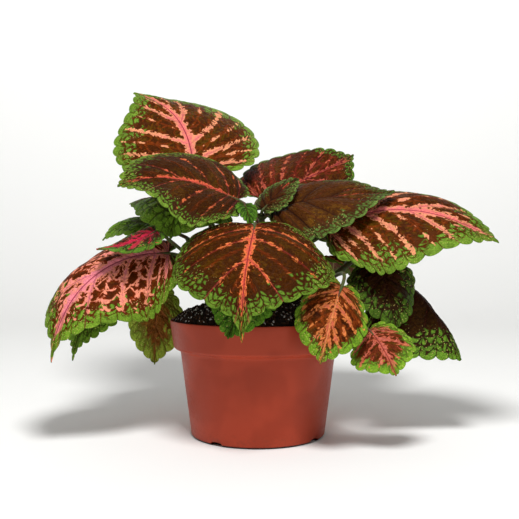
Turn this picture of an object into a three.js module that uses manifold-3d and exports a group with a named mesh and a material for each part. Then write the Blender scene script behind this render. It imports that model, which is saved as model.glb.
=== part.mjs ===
// A potted kong coleus: a tapered plastic pot with a collar, a mound of potting soil, five shoots standing in it,
// and large soft leaves with scalloped edges, each a stalk and a blade in one piece.
// Millimetres, +Z up, the origin at the centre of the pot's underside, the front of the plant towards -Y.
import * as THREE from "three";
import { mergeVertices } from "three/addons/utils/BufferGeometryUtils.js";
import Module from "manifold-3d";

const wasm = await Module();
wasm.setup();

// Pot
const RIM_RADIUS = 75;
const POT_HEIGHT = 97.6;
const COLLAR_BOTTOM_RADIUS = 71.7;
const COLLAR_HEIGHT = 24.4;
const BODY_TOP_RADIUS = 65.7;
const STEP_HEIGHT = 4.9;
const BASE_RADIUS = 57;
const BASE_ROUNDING = 2.4;
const POT_WALL = 1.8;
const POT_FLOOR = 2.2;
const POT_SIDES = 36;
const POT_ARC_STEPS = 3;
const RIM_ROUNDING = 0.7;
const DRAIN_SLOTS = 4;
const DRAIN_SLOT_WIDTH = 11.7;
const DRAIN_SLOT_HEIGHT = 3.3;
const DRAIN_SLOT_TURN = 54;

// Soil
const SOIL_EDGE_HEIGHT = 93;
const SOIL_MOUND_HEIGHT = 115;
const SOIL_MOUND_FULLNESS = 0.45;
const SOIL_RINGS = 4;
const CRUMB_RELIEF = 0.9;

// The clearance between two pieces that touch, and how far a shoot reaches down into the soil
const SEAT_GAP = 0.3;
const SHOOT_DEPTH = 16;

// Shoots: the middle of each, from where it leaves the soil to its top, with its radius there
const SHOOT_SIDES = 8;
const SHOOT_STEPS = 9;
const SHOOT_SQUARENESS = 0.1;
const SHOOTS = {
  main_shoot: { radius: [4.2, 2.2], path: [[2, 1, 111], [3, 0, 138], [3.2, -3, 165], [3.4, -6, 188]] },
  left_shoot: { radius: [3.4, 1.9], path: [[-17, -5, 109], [-37, -6, 128], [-53, -2, 149], [-61, 3, 167]] },
  right_shoot: { radius: [3.4, 1.9], path: [[17, -6, 109], [40, -9, 119], [66, -9, 136], [86, -6, 153]] },
  back_left_shoot: { radius: [3.4, 1.9], path: [[-12, 14, 109], [-24, 32, 134], [-36, 46, 160], [-44, 54, 186]] },
  back_shoot: { radius: [3.4, 1.9], path: [[10, 18, 108], [18, 40, 124], [24, 56, 146], [27, 66, 168]] },
};

// Blade: half outline as shares of the length and of half the width, side veins and scallops
const OUTLINE = [
  [0, 0], [-0.055, 0.2], [-0.05, 0.5], [0.05, 0.8], [0.2, 0.97], [0.36, 1],
  [0.53, 0.9], [0.69, 0.71], [0.82, 0.47], [0.91, 0.24], [0.965, 0.07], [1, 0],
];
const SIDE_VEINS = 6.6;
const VEIN_CROWDING = 0.95;
const BASAL_SHARE = 0.25;
const VEIN_SWEEP = 1.8;
const TAIL_SHARE = 0.08;
const BLADE_THICKNESS = 0.8;
const MIDRIB_DEPTH = 1.0;
const PUCKER_HEIGHT = 1.5;
const EDGE_WAVE = 1.6;
const EDGE_WAVES = 2.5;
const SCALLOP_DEPTH = 3;
const SCALLOPS_PER_VEIN = 2.4;
const SMALL_SCALLOP_DEPTH = 2;
const SMALL_SCALLOPS_PER_VEIN = 1.6;
const SCALLOP_VARIETY = 0.25;
const SCALLOP_REACH = 6;
const SCALLOP_FADE = [0.25, 0.15];
const SMALL_LEAF = 76;
const SPINE_STEPS = 40;
const NARROWEST = 0.5;

// Where the blade's mesh has its places: along the midrib, and in rows between it and the edge, as shares of the way
const MIDRIB_STEPS = 7;
const INNER_ROWS = [0.45, 0.8];
const SMALL_LEAF_ROWS = [0.6];

// Leaf stalk
const STALK_SIDES = 4;
const STALK_STEPS = 5;
const STALK_RADIUS = [2.0, 1.45];
const STALK_RUN_OUT = 10;
const STALK_RUN_OUT_RADIUS = 0.7;

// Colours, as three.js reads them
const COLOURS = {
  pot: "#8c3c2a",
  soil: "#241a14",
  shoot: "#2c3a1c",
  leaf_bright: "#7d3a20",
  leaf_dark: "#4a2a16",
  leaf_shade: "#2f3a1a",
};

// Leaves. base: where the blade starts. heading, pitch and roll: degrees at the base, middle and tip of the midrib,
// heading from +X towards +Y. left and right: how far that half is folded up and then curls down, in degrees.
// blunt: how much fuller the tip half is. tail: how far, in mm, the tip is drawn out.
// share: how far up the shoot the stalk leaves it.
// bow: how far before the base, in mm, the stalk already runs in line with the midrib.
const LEAVES = [
  { name: "leaf_tall_left", shoot: "back_left_shoot", share: 0.93, bow: 8, base: [-58.5, 33, 230],
    heading: [100, 130, 172], pitch: [55, 43, 14], roll: [-10, -18, -15], length: 132, width: 138,
    left: [5, 30], right: [5, 28], colour: "leaf_bright" },
  { name: "leaf_upper_left", shoot: "main_shoot", share: 0.93, bow: 10, base: [-17, -12, 198.5],
    heading: [188, 194, 200], pitch: [28, 7, -26], roll: [-34, -38, -30], length: 104, width: 101,
    left: [12, 30], right: [12, 32], blunt: 0.35, colour: "leaf_dark" },
  { name: "leaf_front", shoot: "main_shoot", share: 0.66, bow: 16, base: [-2.5, -48, 175.5],
    heading: [-92, -103, -96], pitch: [-20, -55, -80], roll: [0, 0, 0], length: 93, width: 125,
    left: [5, 52], right: [5, 38], blunt: 0.35, tail: 16, colour: "leaf_dark" },
  { name: "leaf_upper_back", shoot: "main_shoot", share: 0.72, bow: 10, base: [2, 42, 204],
    heading: [30, 22, 12], pitch: [24, 24, 30], roll: [36, 40, 46], length: 108, width: 96,
    left: [6, 24], right: [-6, 55], blunt: 0.4, colour: "leaf_dark" },
  { name: "leaf_upper_right", shoot: "main_shoot", share: 0.93, bow: 6, base: [13.5, -10, 189.5],
    heading: [-5, -5, 0], pitch: [25, 5, 8], roll: [34, 30, 20], length: 103, width: 94,
    left: [8, 30], right: [8, 45], colour: "leaf_dark" },
  { name: "leaf_young_right", shoot: "main_shoot", share: 0.99, bow: 3, base: [4.5, -14, 190.5],
    heading: [20, 25, 30], pitch: [50, 40, 25], roll: [25, 25, 25], length: 44, width: 34,
    left: [10, 30], right: [10, 30], colour: "leaf_dark" },
  { name: "leaf_young_left", shoot: "main_shoot", share: 0.84, bow: 2, base: [-11, -29, 193.5],
    heading: [-70, -65, -60], pitch: [-40, -55, -75], roll: [0, 0, 0], length: 22, width: 18,
    left: [20, 30], right: [20, 30], colour: "leaf_dark" },
  { name: "leaf_right", shoot: "main_shoot", share: 0.5, bow: 26, base: [59.5, -14, 172.5],
    heading: [-8, -12, -15], pitch: [36, -6, -33], roll: [40, 40, 35], length: 142, width: 122,
    left: [5, 62], right: [5, 48], tail: 4, colour: "leaf_bright" },
  { name: "leaf_low_right_front", shoot: "right_shoot", share: 0.6, bow: 18, base: [64, -69, 127.5],
    heading: [232, 226, 218], pitch: [-54, -66, -72], roll: [-48, -48, -48], length: 62, width: 44,
    left: [5, 12], right: [5, 40], blunt: 0.75, colour: "leaf_bright" },
  { name: "leaf_low_right_small", shoot: "right_shoot", share: 0.3, bow: 22, base: [86.5, -60, 93.5],
    heading: [-50, -50, -50], pitch: [-34, -52, -60], roll: [30, 30, 30], length: 42, width: 40,
    left: [5, 20], right: [5, 20], blunt: 0.9, colour: "leaf_bright" },
  { name: "leaf_low_right_back", shoot: "right_shoot", share: 1, bow: 8, base: [108, 5, 139],
    heading: [-15, -25, -30], pitch: [-20, -52, -65], roll: [20, 25, 25], length: 102, width: 126,
    left: [-25, 90], right: [-22, 10], blunt: 0.45, colour: "leaf_shade" },
  { name: "leaf_low_right_middle", shoot: "right_shoot", share: 0.9, bow: 8, base: [100.5, -15, 144.5],
    heading: [-80, -60, -60], pitch: [-40, -65, -80], roll: [10, 10, 10], length: 60, width: 64,
    left: [5, 40], right: [5, 40], colour: "leaf_shade" },
  { name: "leaf_left", shoot: "left_shoot", share: 0.5, bow: 14, base: [-74.5, -20, 153.5],
    heading: [195, 208, 220], pitch: [4, -38, -80], roll: [-45, -42, -15], length: 130, width: 112,
    left: [5, 50], right: [0, 92], tail: 12, colour: "leaf_bright" },
  { name: "leaf_low_left", shoot: "left_shoot", share: 0.3, bow: 16, base: [-100, 0, 129],
    heading: [200, 215, 230], pitch: [-5, -45, -75], roll: [-20, -20, -10], length: 87, width: 62,
    left: [5, 40], right: [5, 40], tail: 7, colour: "leaf_shade" },
  { name: "leaf_low_left_back", shoot: "back_left_shoot", share: 0.3, bow: 20, base: [-92, 44, 119],
    heading: [-95, -95, -95], pitch: [-62, -80, -85], roll: [0, 0, 0], length: 67, width: 41,
    left: [5, 20], right: [5, 20], blunt: 0.7, colour: "leaf_shade" },
  { name: "leaf_side_left_upper", shoot: "left_shoot", share: 1, bow: 5, base: [-92, 14, 180],
    heading: [183, 180, 178], pitch: [10, -18, -50], roll: [-24, -24, -24], length: 49, width: 44,
    left: [10, 30], right: [10, 30], colour: "leaf_bright" },
  { name: "leaf_side_left_lower", shoot: "left_shoot", share: 0.62, bow: 3, base: [-83, -35, 171],
    heading: [205, 200, 195], pitch: [-26, -20, 3], roll: [-25, -20, -10], length: 50, width: 46,
    left: [15, 30], right: [10, 45], colour: "leaf_bright" },
  { name: "leaf_shaded_left", shoot: "back_left_shoot", share: 0.76, bow: 12, base: [-55.5, 31, 201],
    heading: [250, 252, 255], pitch: [20, -35, -78], roll: [-10, -10, -10], length: 73, width: 98,
    left: [5, 50], right: [5, 40], colour: "leaf_shade" },
  { name: "leaf_low_front", shoot: "main_shoot", share: 0.1, bow: 18, base: [-1.5, -66, 131],
    heading: [220, 225, 225], pitch: [-30, -60, -60], roll: [-30, -30, -30], length: 51, width: 50,
    left: [5, 30], right: [5, 30], colour: "leaf_shade" },
  { name: "leaf_shaded_right", shoot: "right_shoot", share: 0.8, bow: 8, base: [90, 28, 153],
    heading: [-5, -8, -10], pitch: [-5, -15, -45], roll: [10, 10, 10], length: 48, width: 44,
    left: [5, 40], right: [5, 40], colour: "leaf_shade" },
  { name: "leaf_back_right", shoot: "back_shoot", share: 1, bow: 12, base: [40, 86, 177],
    heading: [20, 28, 35], pitch: [20, 0, -28], roll: [10, 10, 5], length: 118, width: 108,
    left: [5, 40], right: [5, 40], colour: "leaf_dark" },
  { name: "leaf_back", shoot: "back_shoot", share: 0.95, bow: 10, base: [12, 78, 166],
    heading: [115, 108, 100], pitch: [15, -22, -58], roll: [0, 0, 0], length: 116, width: 108,
    left: [5, 45], right: [5, 45], colour: "leaf_dark" },
  { name: "leaf_back_left", shoot: "back_left_shoot", share: 1, bow: 10, base: [-50, 70, 198],
    heading: [130, 135, 140], pitch: [20, 2, -28], roll: [0, 0, 0], length: 112, width: 104,
    left: [5, 40], right: [5, 40], colour: "leaf_bright" },
  { name: "leaf_low_back_left", shoot: "back_left_shoot", share: 0.6, bow: 14, base: [-62, 58, 152],
    heading: [150, 145, 140], pitch: [8, -30, -62], roll: [0, 0, 0], length: 100, width: 88,
    left: [5, 45], right: [5, 45], colour: "leaf_dark" },
  { name: "leaf_low_back_right", shoot: "back_shoot", share: 0.7, bow: 12, base: [56, 62, 150],
    heading: [35, 40, 45], pitch: [8, -18, -50], roll: [0, 0, 0], length: 92, width: 80,
    left: [5, 45], right: [5, 40], colour: "leaf_bright" },
  { name: "leaf_low_back", shoot: "back_shoot", share: 0.3, bow: 16, base: [0, 66, 126],
    heading: [95, 92, 90], pitch: [-5, -45, -75], roll: [0, 0, 0], length: 88, width: 78,
    left: [5, 45], right: [5, 45], colour: "leaf_shade" },
];

const radians = THREE.MathUtils.degToRad;
const clamp = THREE.MathUtils.clamp;

// Makes a manifold-3d solid from a closed three.js geometry.
function solidOf(geometry) {
  const bare = new THREE.BufferGeometry().setAttribute("position", geometry.getAttribute("position"));
  bare.setIndex(geometry.getIndex());
  const merged = mergeVertices(bare, 1e-4);
  const index = merged.index.array;
  const kept = [];
  for (let i = 0; i < index.length; i += 3) {
    const [a, b, c] = [index[i], index[i + 1], index[i + 2]];
    if (a !== b && b !== c && c !== a) kept.push(a, b, c);
  }
  const vertProperties = merged.attributes.position.array;
  return new wasm.Manifold(new wasm.Mesh({ numProp: 3, vertProperties, triVerts: new Uint32Array(kept) }));
}

// Turns a manifold-3d solid back into a three.js geometry.
function geometryOf(solid) {
  const mesh = solid.getMesh();
  const positions = new Float32Array(mesh.numVert * 3);
  for (let i = 0; i < mesh.numVert; i++) {
    positions.set(mesh.vertProperties.subarray(i * mesh.numProp, i * mesh.numProp + 3), i * 3);
  }
  const geometry = new THREE.BufferGeometry().setAttribute("position", new THREE.BufferAttribute(positions, 3));
  geometry.setIndex(new THREE.BufferAttribute(mesh.triVerts, 1));
  return geometry.toNonIndexed();
}

function indexedGeometry(points, triangles) {
  const geometry = new THREE.BufferGeometry().setFromPoints(points);
  geometry.setIndex(triangles.flat());
  return geometry;
}

function materialOf(colour, roughness) {
  return new THREE.MeshStandardMaterial({ color: COLOURS[colour], roughness, metalness: 0, flatShading: true });
}

// A closed solid turned about Z from a profile of [radius, height] points that starts and ends on the axis.
function turned(profile, sides) {
  const points = profile.map(([radius, height]) => new THREE.Vector2(radius, height));
  return new THREE.LatheGeometry(points, sides).rotateX(Math.PI / 2);
}

// A closed tube along points, with a radius at each and an optional squareness of its section.
function tube(points, radii, sides, squareness = 0) {
  const vertices = [];
  const triangles = [];
  const across = new THREE.Vector3(0, 1, 0.01);
  points.forEach((point, i) => {
    const before = points[Math.max(i - 1, 0)];
    const after = points[Math.min(i + 1, points.length - 1)];
    const along = after.clone().sub(before).normalize();
    const u = across.clone().addScaledVector(along, -across.dot(along)).normalize();
    const v = along.clone().cross(u);
    across.copy(u);
    for (let k = 0; k < sides; k++) {
      const angle = (2 * Math.PI * k) / sides;
      const radius = radii[i] * (1 + squareness * Math.cos(4 * angle));
      const edge = point.clone().addScaledVector(u, radius * Math.cos(angle));
      vertices.push(edge.addScaledVector(v, radius * Math.sin(angle)));
    }
  });
  for (let i = 0; i + 1 < points.length; i++) {
    for (let k = 0; k < sides; k++) {
      const a = i * sides + k;
      const b = i * sides + ((k + 1) % sides);
      triangles.push([a, b, a + sides], [b, b + sides, a + sides]);
    }
  }
  const last = (points.length - 1) * sides;
  for (let k = 1; k + 1 < sides; k++) {
    triangles.push([0, k + 1, k], [last, last + k, last + k + 1]);
  }
  return indexedGeometry(vertices, triangles);
}

// The pot's inside from its floor to its rim, as [radius, height] points.
function potInside() {
  const step = POT_HEIGHT - COLLAR_HEIGHT;
  return [
    [BASE_RADIUS - POT_WALL, POT_FLOOR],
    [BODY_TOP_RADIUS - POT_WALL, step - STEP_HEIGHT + POT_WALL],
    [COLLAR_BOTTOM_RADIUS - POT_WALL, step + POT_WALL],
    [RIM_RADIUS - POT_WALL, POT_HEIGHT],
  ];
}

// The pot's whole section: outside from the base up to the rim, then down the inside to the floor.
function potProfile() {
  const outerStep = POT_HEIGHT - COLLAR_HEIGHT;
  const bodyTop = outerStep - STEP_HEIGHT;
  const profile = [[0, 0]];
  for (let i = 0; i <= POT_ARC_STEPS; i++) {
    const angle = (Math.PI / 2) * (i / POT_ARC_STEPS);
    const radius = BASE_RADIUS - BASE_ROUNDING + BASE_ROUNDING * Math.sin(angle);
    profile.push([radius, BASE_ROUNDING * (1 - Math.cos(angle))]);
  }
  profile.push([BODY_TOP_RADIUS, bodyTop]);
  for (let i = 1; i <= POT_ARC_STEPS; i++) {
    const angle = (Math.PI / 2) * (i / POT_ARC_STEPS);
    const radius = BODY_TOP_RADIUS + (COLLAR_BOTTOM_RADIUS - BODY_TOP_RADIUS) * (1 - Math.cos(angle));
    profile.push([radius, bodyTop + STEP_HEIGHT * Math.sin(angle)]);
  }
  profile.push([RIM_RADIUS - 0.1, POT_HEIGHT - RIM_ROUNDING], [RIM_RADIUS - RIM_ROUNDING, POT_HEIGHT]);
  profile.push(...potInside().reverse(), [0, POT_FLOOR]);
  return profile;
}

// The arched slots that let water out where the wall meets the floor.
function drainSlot(turn) {
  const half = DRAIN_SLOT_WIDTH / 2;
  const shape = new THREE.Shape();
  shape.moveTo(-half, -1);
  shape.lineTo(half, -1);
  shape.lineTo(half, DRAIN_SLOT_HEIGHT * 0.45);
  shape.quadraticCurveTo(half * 0.8, DRAIN_SLOT_HEIGHT, 0, DRAIN_SLOT_HEIGHT);
  shape.quadraticCurveTo(-half * 0.8, DRAIN_SLOT_HEIGHT, -half, DRAIN_SLOT_HEIGHT * 0.45);
  const geometry = new THREE.ExtrudeGeometry(shape, { depth: 8, bevelEnabled: false, curveSegments: 4 });
  geometry.rotateX(Math.PI / 2);
  geometry.translate(0, -(BASE_RADIUS - 5), 0);
  return geometry.rotateZ(radians(turn));
}

function potSolid() {
  let solid = solidOf(turned(potProfile(), POT_SIDES));
  for (let i = 0; i < DRAIN_SLOTS; i++) {
    solid = solid.subtract(solidOf(drainSlot(DRAIN_SLOT_TURN + (360 / DRAIN_SLOTS) * i)));
  }
  return solid;
}

// Soil that fills the pot up to a mound, its top a little uneven.
function soilGeometry() {
  const [floor, bodyTop, collarBottom, rim] = potInside();
  const profile = [[0, floor[1] + SEAT_GAP], [floor[0] - SEAT_GAP, floor[1] + SEAT_GAP]];
  for (const [radius, height] of [bodyTop, collarBottom]) {
    profile.push([radius - SEAT_GAP, height + SEAT_GAP / 2]);
  }
  const climb = (SOIL_EDGE_HEIGHT - collarBottom[1]) / (rim[1] - collarBottom[1]);
  const edge = collarBottom[0] + (rim[0] - collarBottom[0]) * climb - SEAT_GAP;
  for (let i = 0; i <= SOIL_RINGS; i++) {
    const share = i / SOIL_RINGS;
    const rise = Math.sin((Math.PI / 2) * share) ** SOIL_MOUND_FULLNESS;
    profile.push([edge * (1 - share), SOIL_EDGE_HEIGHT + (SOIL_MOUND_HEIGHT - SOIL_EDGE_HEIGHT) * rise]);
  }
  const geometry = turned(profile, POT_SIDES);
  const position = geometry.getAttribute("position");
  for (let i = 0; i < position.count; i++) {
    const [x, y, z] = [position.getX(i), position.getY(i), position.getZ(i)];
    if (z > SOIL_EDGE_HEIGHT + 1) {
      const relief = Math.sin(x * 0.41 + 1.3) * Math.cos(y * 0.37) + 0.6 * Math.sin(x * 0.83 - y * 0.71);
      position.setZ(i, z + CRUMB_RELIEF * relief);
    }
  }
  return geometry;
}

function shootCurve(shoot) {
  const points = shoot.path.map((p) => new THREE.Vector3(...p));
  const under = points[0].clone().sub(points[1]).normalize();
  under.z = Math.min(under.z, -0.85);
  points.unshift(points[0].clone().addScaledVector(under.normalize(), SHOOT_DEPTH));
  return new THREE.CatmullRomCurve3(points);
}

// A shoot as a slightly square tapered tube; grow adds to its radius and to its lower end.
function shootGeometry(shoot, grow = 0) {
  const points = shootCurve(shoot).getPoints(SHOOT_STEPS);
  points[0].z -= grow;
  const radii = points.map((_, i) => {
    const share = i / (points.length - 1);
    return shoot.radius[0] + (shoot.radius[1] - shoot.radius[0]) * share + grow;
  });
  return tube(points, radii, SHOOT_SIDES, SHOOT_SQUARENESS);
}

// Blends three values given at the base, middle and tip of a leaf.
function blend([base, middle, tip], s) {
  return base * (1 - s) * (1 - 2 * s) + 4 * middle * s * (1 - s) + tip * s * (2 * s - 1);
}

// A point of the half outline: x as a share of the length, y as a share of half the width.
function outlineAt(tau) {
  const last = OUTLINE.length - 1;
  const place = clamp(tau, 0, 1) * last;
  const i = Math.min(Math.floor(place), last - 1);
  const w = place - i;
  const ends = (k, axis) => {
    if (k < 0) return 2 * OUTLINE[0][axis] - OUTLINE[1][axis];
    if (k > last) return 2 * OUTLINE[last][axis] - OUTLINE[last - 1][axis];
    return OUTLINE[k][axis];
  };
  return [0, 1].map((axis) => {
    const [a, b, c, d] = [ends(i - 1, axis), ends(i, axis), ends(i + 1, axis), ends(i + 2, axis)];
    const bend = (2 * a - 5 * b + 4 * c - d) * w * w + (3 * b - a - 3 * c + d) * w * w * w;
    return 0.5 * (2 * b + (c - a) * w + bend);
  });
}

class Leaf {
  constructor(values, order) {
    Object.assign(this, { blunt: 0, tail: 0 }, values);
    const small = this.length < SMALL_LEAF;
    this.scallopsPerVein = small ? SMALL_SCALLOPS_PER_VEIN : SCALLOPS_PER_VEIN;
    this.depth = Math.min(small ? SMALL_SCALLOP_DEPTH : SCALLOP_DEPTH, this.width * 0.07);
    this.phase = 2.4 * order;
    this.pucker = PUCKER_HEIGHT * Math.min(1, this.width / 100);
    this.wave = EDGE_WAVE * Math.min(1, this.width / 100);
    this.spine = this.makeSpine();
  }

  // Frames along the midrib: its place, its direction, the direction of the left half and the upper normal.
  makeSpine() {
    const frames = [];
    const place = new THREE.Vector3(...this.base);
    for (let i = 0; i <= SPINE_STEPS; i++) {
      const s = i / SPINE_STEPS;
      const heading = radians(blend(this.heading, s));
      const pitch = radians(blend(this.pitch, s));
      const roll = radians(blend(this.roll, s));
      const along = new THREE.Vector3(
        Math.cos(pitch) * Math.cos(heading), Math.cos(pitch) * Math.sin(heading), Math.sin(pitch));
      const level = new THREE.Vector3(-Math.sin(heading), Math.cos(heading), 0);
      const up = along.clone().cross(level);
      const side = level.clone().multiplyScalar(Math.cos(roll)).addScaledVector(up, Math.sin(roll));
      const normal = along.clone().cross(side);
      if (i > 0) {
        const mean = along.clone().add(frames[i - 1].along).multiplyScalar(0.5);
        place.addScaledVector(mean, this.length / SPINE_STEPS);
      }
      frames.push({ place: place.clone(), along, side, normal });
    }
    return frames;
  }

  frameAt(s) {
    const at = clamp(s, 0, 1) * SPINE_STEPS;
    const i = Math.min(Math.floor(at), SPINE_STEPS - 1);
    const [a, b] = [this.spine[i], this.spine[i + 1]];
    const mix = (key) => a[key].clone().lerp(b[key], at - i);
    return { place: mix("place"), along: mix("along"), side: mix("side"), normal: mix("normal") };
  }

  rim(tau) {
    const [x, y] = outlineAt(tau);
    const u = clamp(x, 0, 1);
    const tail = this.tail * clamp((u - 1) / TAIL_SHARE + 1, 0, 1) ** 2;
    return [x * this.length + tail, y * (1 + this.blunt * 4 * u * u * (1 - u)) * (this.width / 2)];
  }

  // Where a place along the edge lies among the scallops, which are whole numbers apart.
  scallopAt(tau) {
    return this.scallopsPerVein * SIDE_VEINS * clamp(tau, 0, 1) ** VEIN_CROWDING;
  }

  // A flat blade point in mm: tau runs from base to tip along the edge, q from the midrib (0) to the edge (1).
  flat(tau, q) {
    const [x, y] = this.rim(tau);
    const [ahead, behind] = [this.rim(tau + 1e-3), this.rim(tau - 1e-3)];
    const run = new THREE.Vector2(ahead[0] - behind[0], ahead[1] - behind[1]).normalize();
    const fade = clamp(Math.min(tau / SCALLOP_FADE[0], (1 - tau) / SCALLOP_FADE[1]), 0, 1) * q ** SCALLOP_REACH;
    const scallop = this.scallopAt(tau);
    const depth = this.depth * fade * (1 + SCALLOP_VARIETY * Math.sin(1.7 * scallop + this.phase));
    const push = (Math.abs(Math.sin(Math.PI * scallop)) ** 0.7 - 0.5) * depth;
    const edge = [x - run.y * push, Math.max(y + run.x * push, NARROWEST)];
    const start = clamp((tau - BASAL_SHARE) / (1 - BASAL_SHARE), 0, 1) ** VEIN_SWEEP * this.length;
    return [start + (edge[0] - start) * (0.7 * q + 0.3 * q * q), edge[1] * q];
  }

  // How far the blade rises between its side veins and waves at its edge.
  relief(tau, q, hand) {
    const between = Math.sin(Math.PI * SIDE_VEINS * tau ** VEIN_CROWDING) ** 2;
    const wave = Math.sin(2 * Math.PI * EDGE_WAVES * tau + this.phase + hand) * q * q * clamp((1 - tau) / 0.2, 0, 1);
    return this.pucker * between * Math.sin(Math.PI * q) + this.wave * wave;
  }

  // Puts a flat blade point in space; hand is 1 on the left half and -1 on the right.
  bend(x, y, lift, hand) {
    const s = clamp(x / this.length, 0, 1);
    const { place, along, side, normal } = this.frameAt(s);
    const [fold, curl] = (hand > 0 ? this.left : this.right).map(radians);
    const half = this.width / 2;
    const angle = fold - (curl * y) / half;
    const across = (half / curl) * (Math.sin(fold) - Math.sin(angle)) - lift * Math.sin(angle);
    const rise = (half / curl) * (Math.cos(angle) - Math.cos(fold)) + lift * Math.cos(angle);
    return place.addScaledVector(along, x - s * this.length)
      .addScaledVector(side, hand * across)
      .addScaledVector(normal, rise);
  }

  // Rows of places between the midrib and the edge: [q, tau values], each row finer than the one inside it.
  rows() {
    const even = (count, from) => Array.from({ length: count - 1 }, (_, i) => from + ((1 - from) * (i + 1)) / count);
    const veinPlaces = [];
    for (let k = 1; k < SIDE_VEINS; k += 0.5) {
      veinPlaces.push((k / SIDE_VEINS) ** (1 / VEIN_CROWDING));
    }
    const edge = [];
    const scallops = this.scallopAt(1);
    for (let k = 0.5; k < scallops - 0.3; k += 0.5) {
      edge.push((k / scallops) ** (1 / VEIN_CROWDING));
    }
    const between = this.length < SMALL_LEAF ? SMALL_LEAF_ROWS : INNER_ROWS;
    return [[0, even(MIDRIB_STEPS, BASAL_SHARE)], ...between.map((q) => [q, veinPlaces]), [1, edge]];
  }

  blade() {
    const points = [];
    const triangles = [];
    // Adds the upper and the lower vertex of a blade place and returns the upper one's number.
    const add = (tau, q, hand) => {
      const [x, y] = tau <= 0 ? [0, 0] : tau >= 1 ? [this.length + this.tail, 0] : this.flat(tau, q);
      const lift = tau <= 0 || tau >= 1 ? 0 : this.relief(tau, q, hand);
      const keel = q === 0 ? MIDRIB_DEPTH * (1 - 0.7 * (x / this.length)) : 0;
      points.push(this.bend(x, y, lift + BLADE_THICKNESS / 2, hand));
      points.push(this.bend(x, y, lift - BLADE_THICKNESS / 2 - keel, hand));
      return points.length - 2;
    };
    const face = (a, b, c, hand) => {
      const [p, q, r] = hand > 0 ? [a, b, c] : [a, c, b];
      triangles.push([p, q, r], [p + 1, r + 1, q + 1]);
    };
    const [base, tip] = [add(0, 0, 1), add(1, 0, 1)];
    const rows = this.rows();
    const midrib = rows[0][1].map((tau) => add(tau, 0, 1));
    for (const hand of [1, -1]) {
      let inner = { taus: [0, ...rows[0][1], 1], ids: [base, ...midrib, tip] };
      for (const [q, places] of rows.slice(1)) {
        const outer = { taus: [0, ...places, 1], ids: [base, ...places.map((tau) => add(tau, q, hand)), tip] };
        let [i, j] = [0, 0];
        while (i + 1 < inner.ids.length || j + 1 < outer.ids.length) {
          const innerMiddle = i + 1 < inner.ids.length ? inner.taus[i] + inner.taus[i + 1] : Infinity;
          const outerMiddle = j + 1 < outer.ids.length ? outer.taus[j] + outer.taus[j + 1] : Infinity;
          if (innerMiddle <= outerMiddle) {
            if (inner.ids[i] !== outer.ids[j] && inner.ids[i + 1] !== outer.ids[j]) {
              face(inner.ids[i], inner.ids[i + 1], outer.ids[j], hand);
            }
            i++;
          } else {
            if (inner.ids[i] !== outer.ids[j] && inner.ids[i] !== outer.ids[j + 1]) {
              face(inner.ids[i], outer.ids[j + 1], outer.ids[j], hand);
            }
            j++;
          }
        }
        inner = outer;
      }
      for (let k = 0; k + 1 < inner.ids.length; k++) {
        const [a, b] = hand > 0 ? [inner.ids[k], inner.ids[k + 1]] : [inner.ids[k + 1], inner.ids[k]];
        triangles.push([a, b, a + 1], [b, b + 1, a + 1]);
      }
    }
    return indexedGeometry(points, triangles);
  }

  // The stalk, from inside its shoot to a little way along the underside of the midrib.
  stalk(curve, depthShare) {
    const start = curve.getPointAt(depthShare + (1 - depthShare) * this.share);
    const base = new THREE.Vector3(...this.base);
    const control = base.clone().addScaledVector(this.spine[0].along, -this.bow);
    const path = new THREE.CubicBezierCurve3(start, start.clone().lerp(control, 0.6), control, base);
    const points = path.getPoints(STALK_STEPS);
    const radii = points.map((_, i) => STALK_RADIUS[0] + ((STALK_RADIUS[1] - STALK_RADIUS[0]) * i) / STALK_STEPS);
    const runOut = Math.min(STALK_RUN_OUT, this.length * 0.15);
    points.push(this.bend(runOut, 0, -BLADE_THICKNESS, 1));
    radii.push(STALK_RUN_OUT_RADIUS);
    const slim = Math.min(1, 0.5 + this.length / 160);
    return tube(points, radii.map((r) => r * slim), STALK_SIDES);
  }
}

const root = new THREE.Group();

function addPart(name, solid, colour, roughness) {
  const mesh = new THREE.Mesh(geometryOf(solid), materialOf(colour, roughness));
  mesh.name = name;
  root.add(mesh);
}

addPart("pot", potSolid(), "pot", 0.45);

let soil = solidOf(soilGeometry());
const grown = {};
for (const [name, shoot] of Object.entries(SHOOTS)) {
  grown[name] = solidOf(shootGeometry(shoot, SEAT_GAP));
  soil = soil.subtract(grown[name]);
  addPart(name, solidOf(shootGeometry(shoot)), "shoot", 0.6);
}
addPart("soil", soil, "soil", 0.95);

LEAVES.forEach((values, order) => {
  const leaf = new Leaf(values, order);
  const curve = shootCurve(SHOOTS[leaf.shoot]);
  const stalk = solidOf(leaf.stalk(curve, SHOOT_DEPTH / curve.getLength())).subtract(grown[leaf.shoot]);
  const solid = solidOf(leaf.blade()).add(stalk);
  addPart(leaf.name, solid, leaf.colour, 0.6);
});

export default root;
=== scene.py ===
import math
from functools import partial, partialmethod

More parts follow.
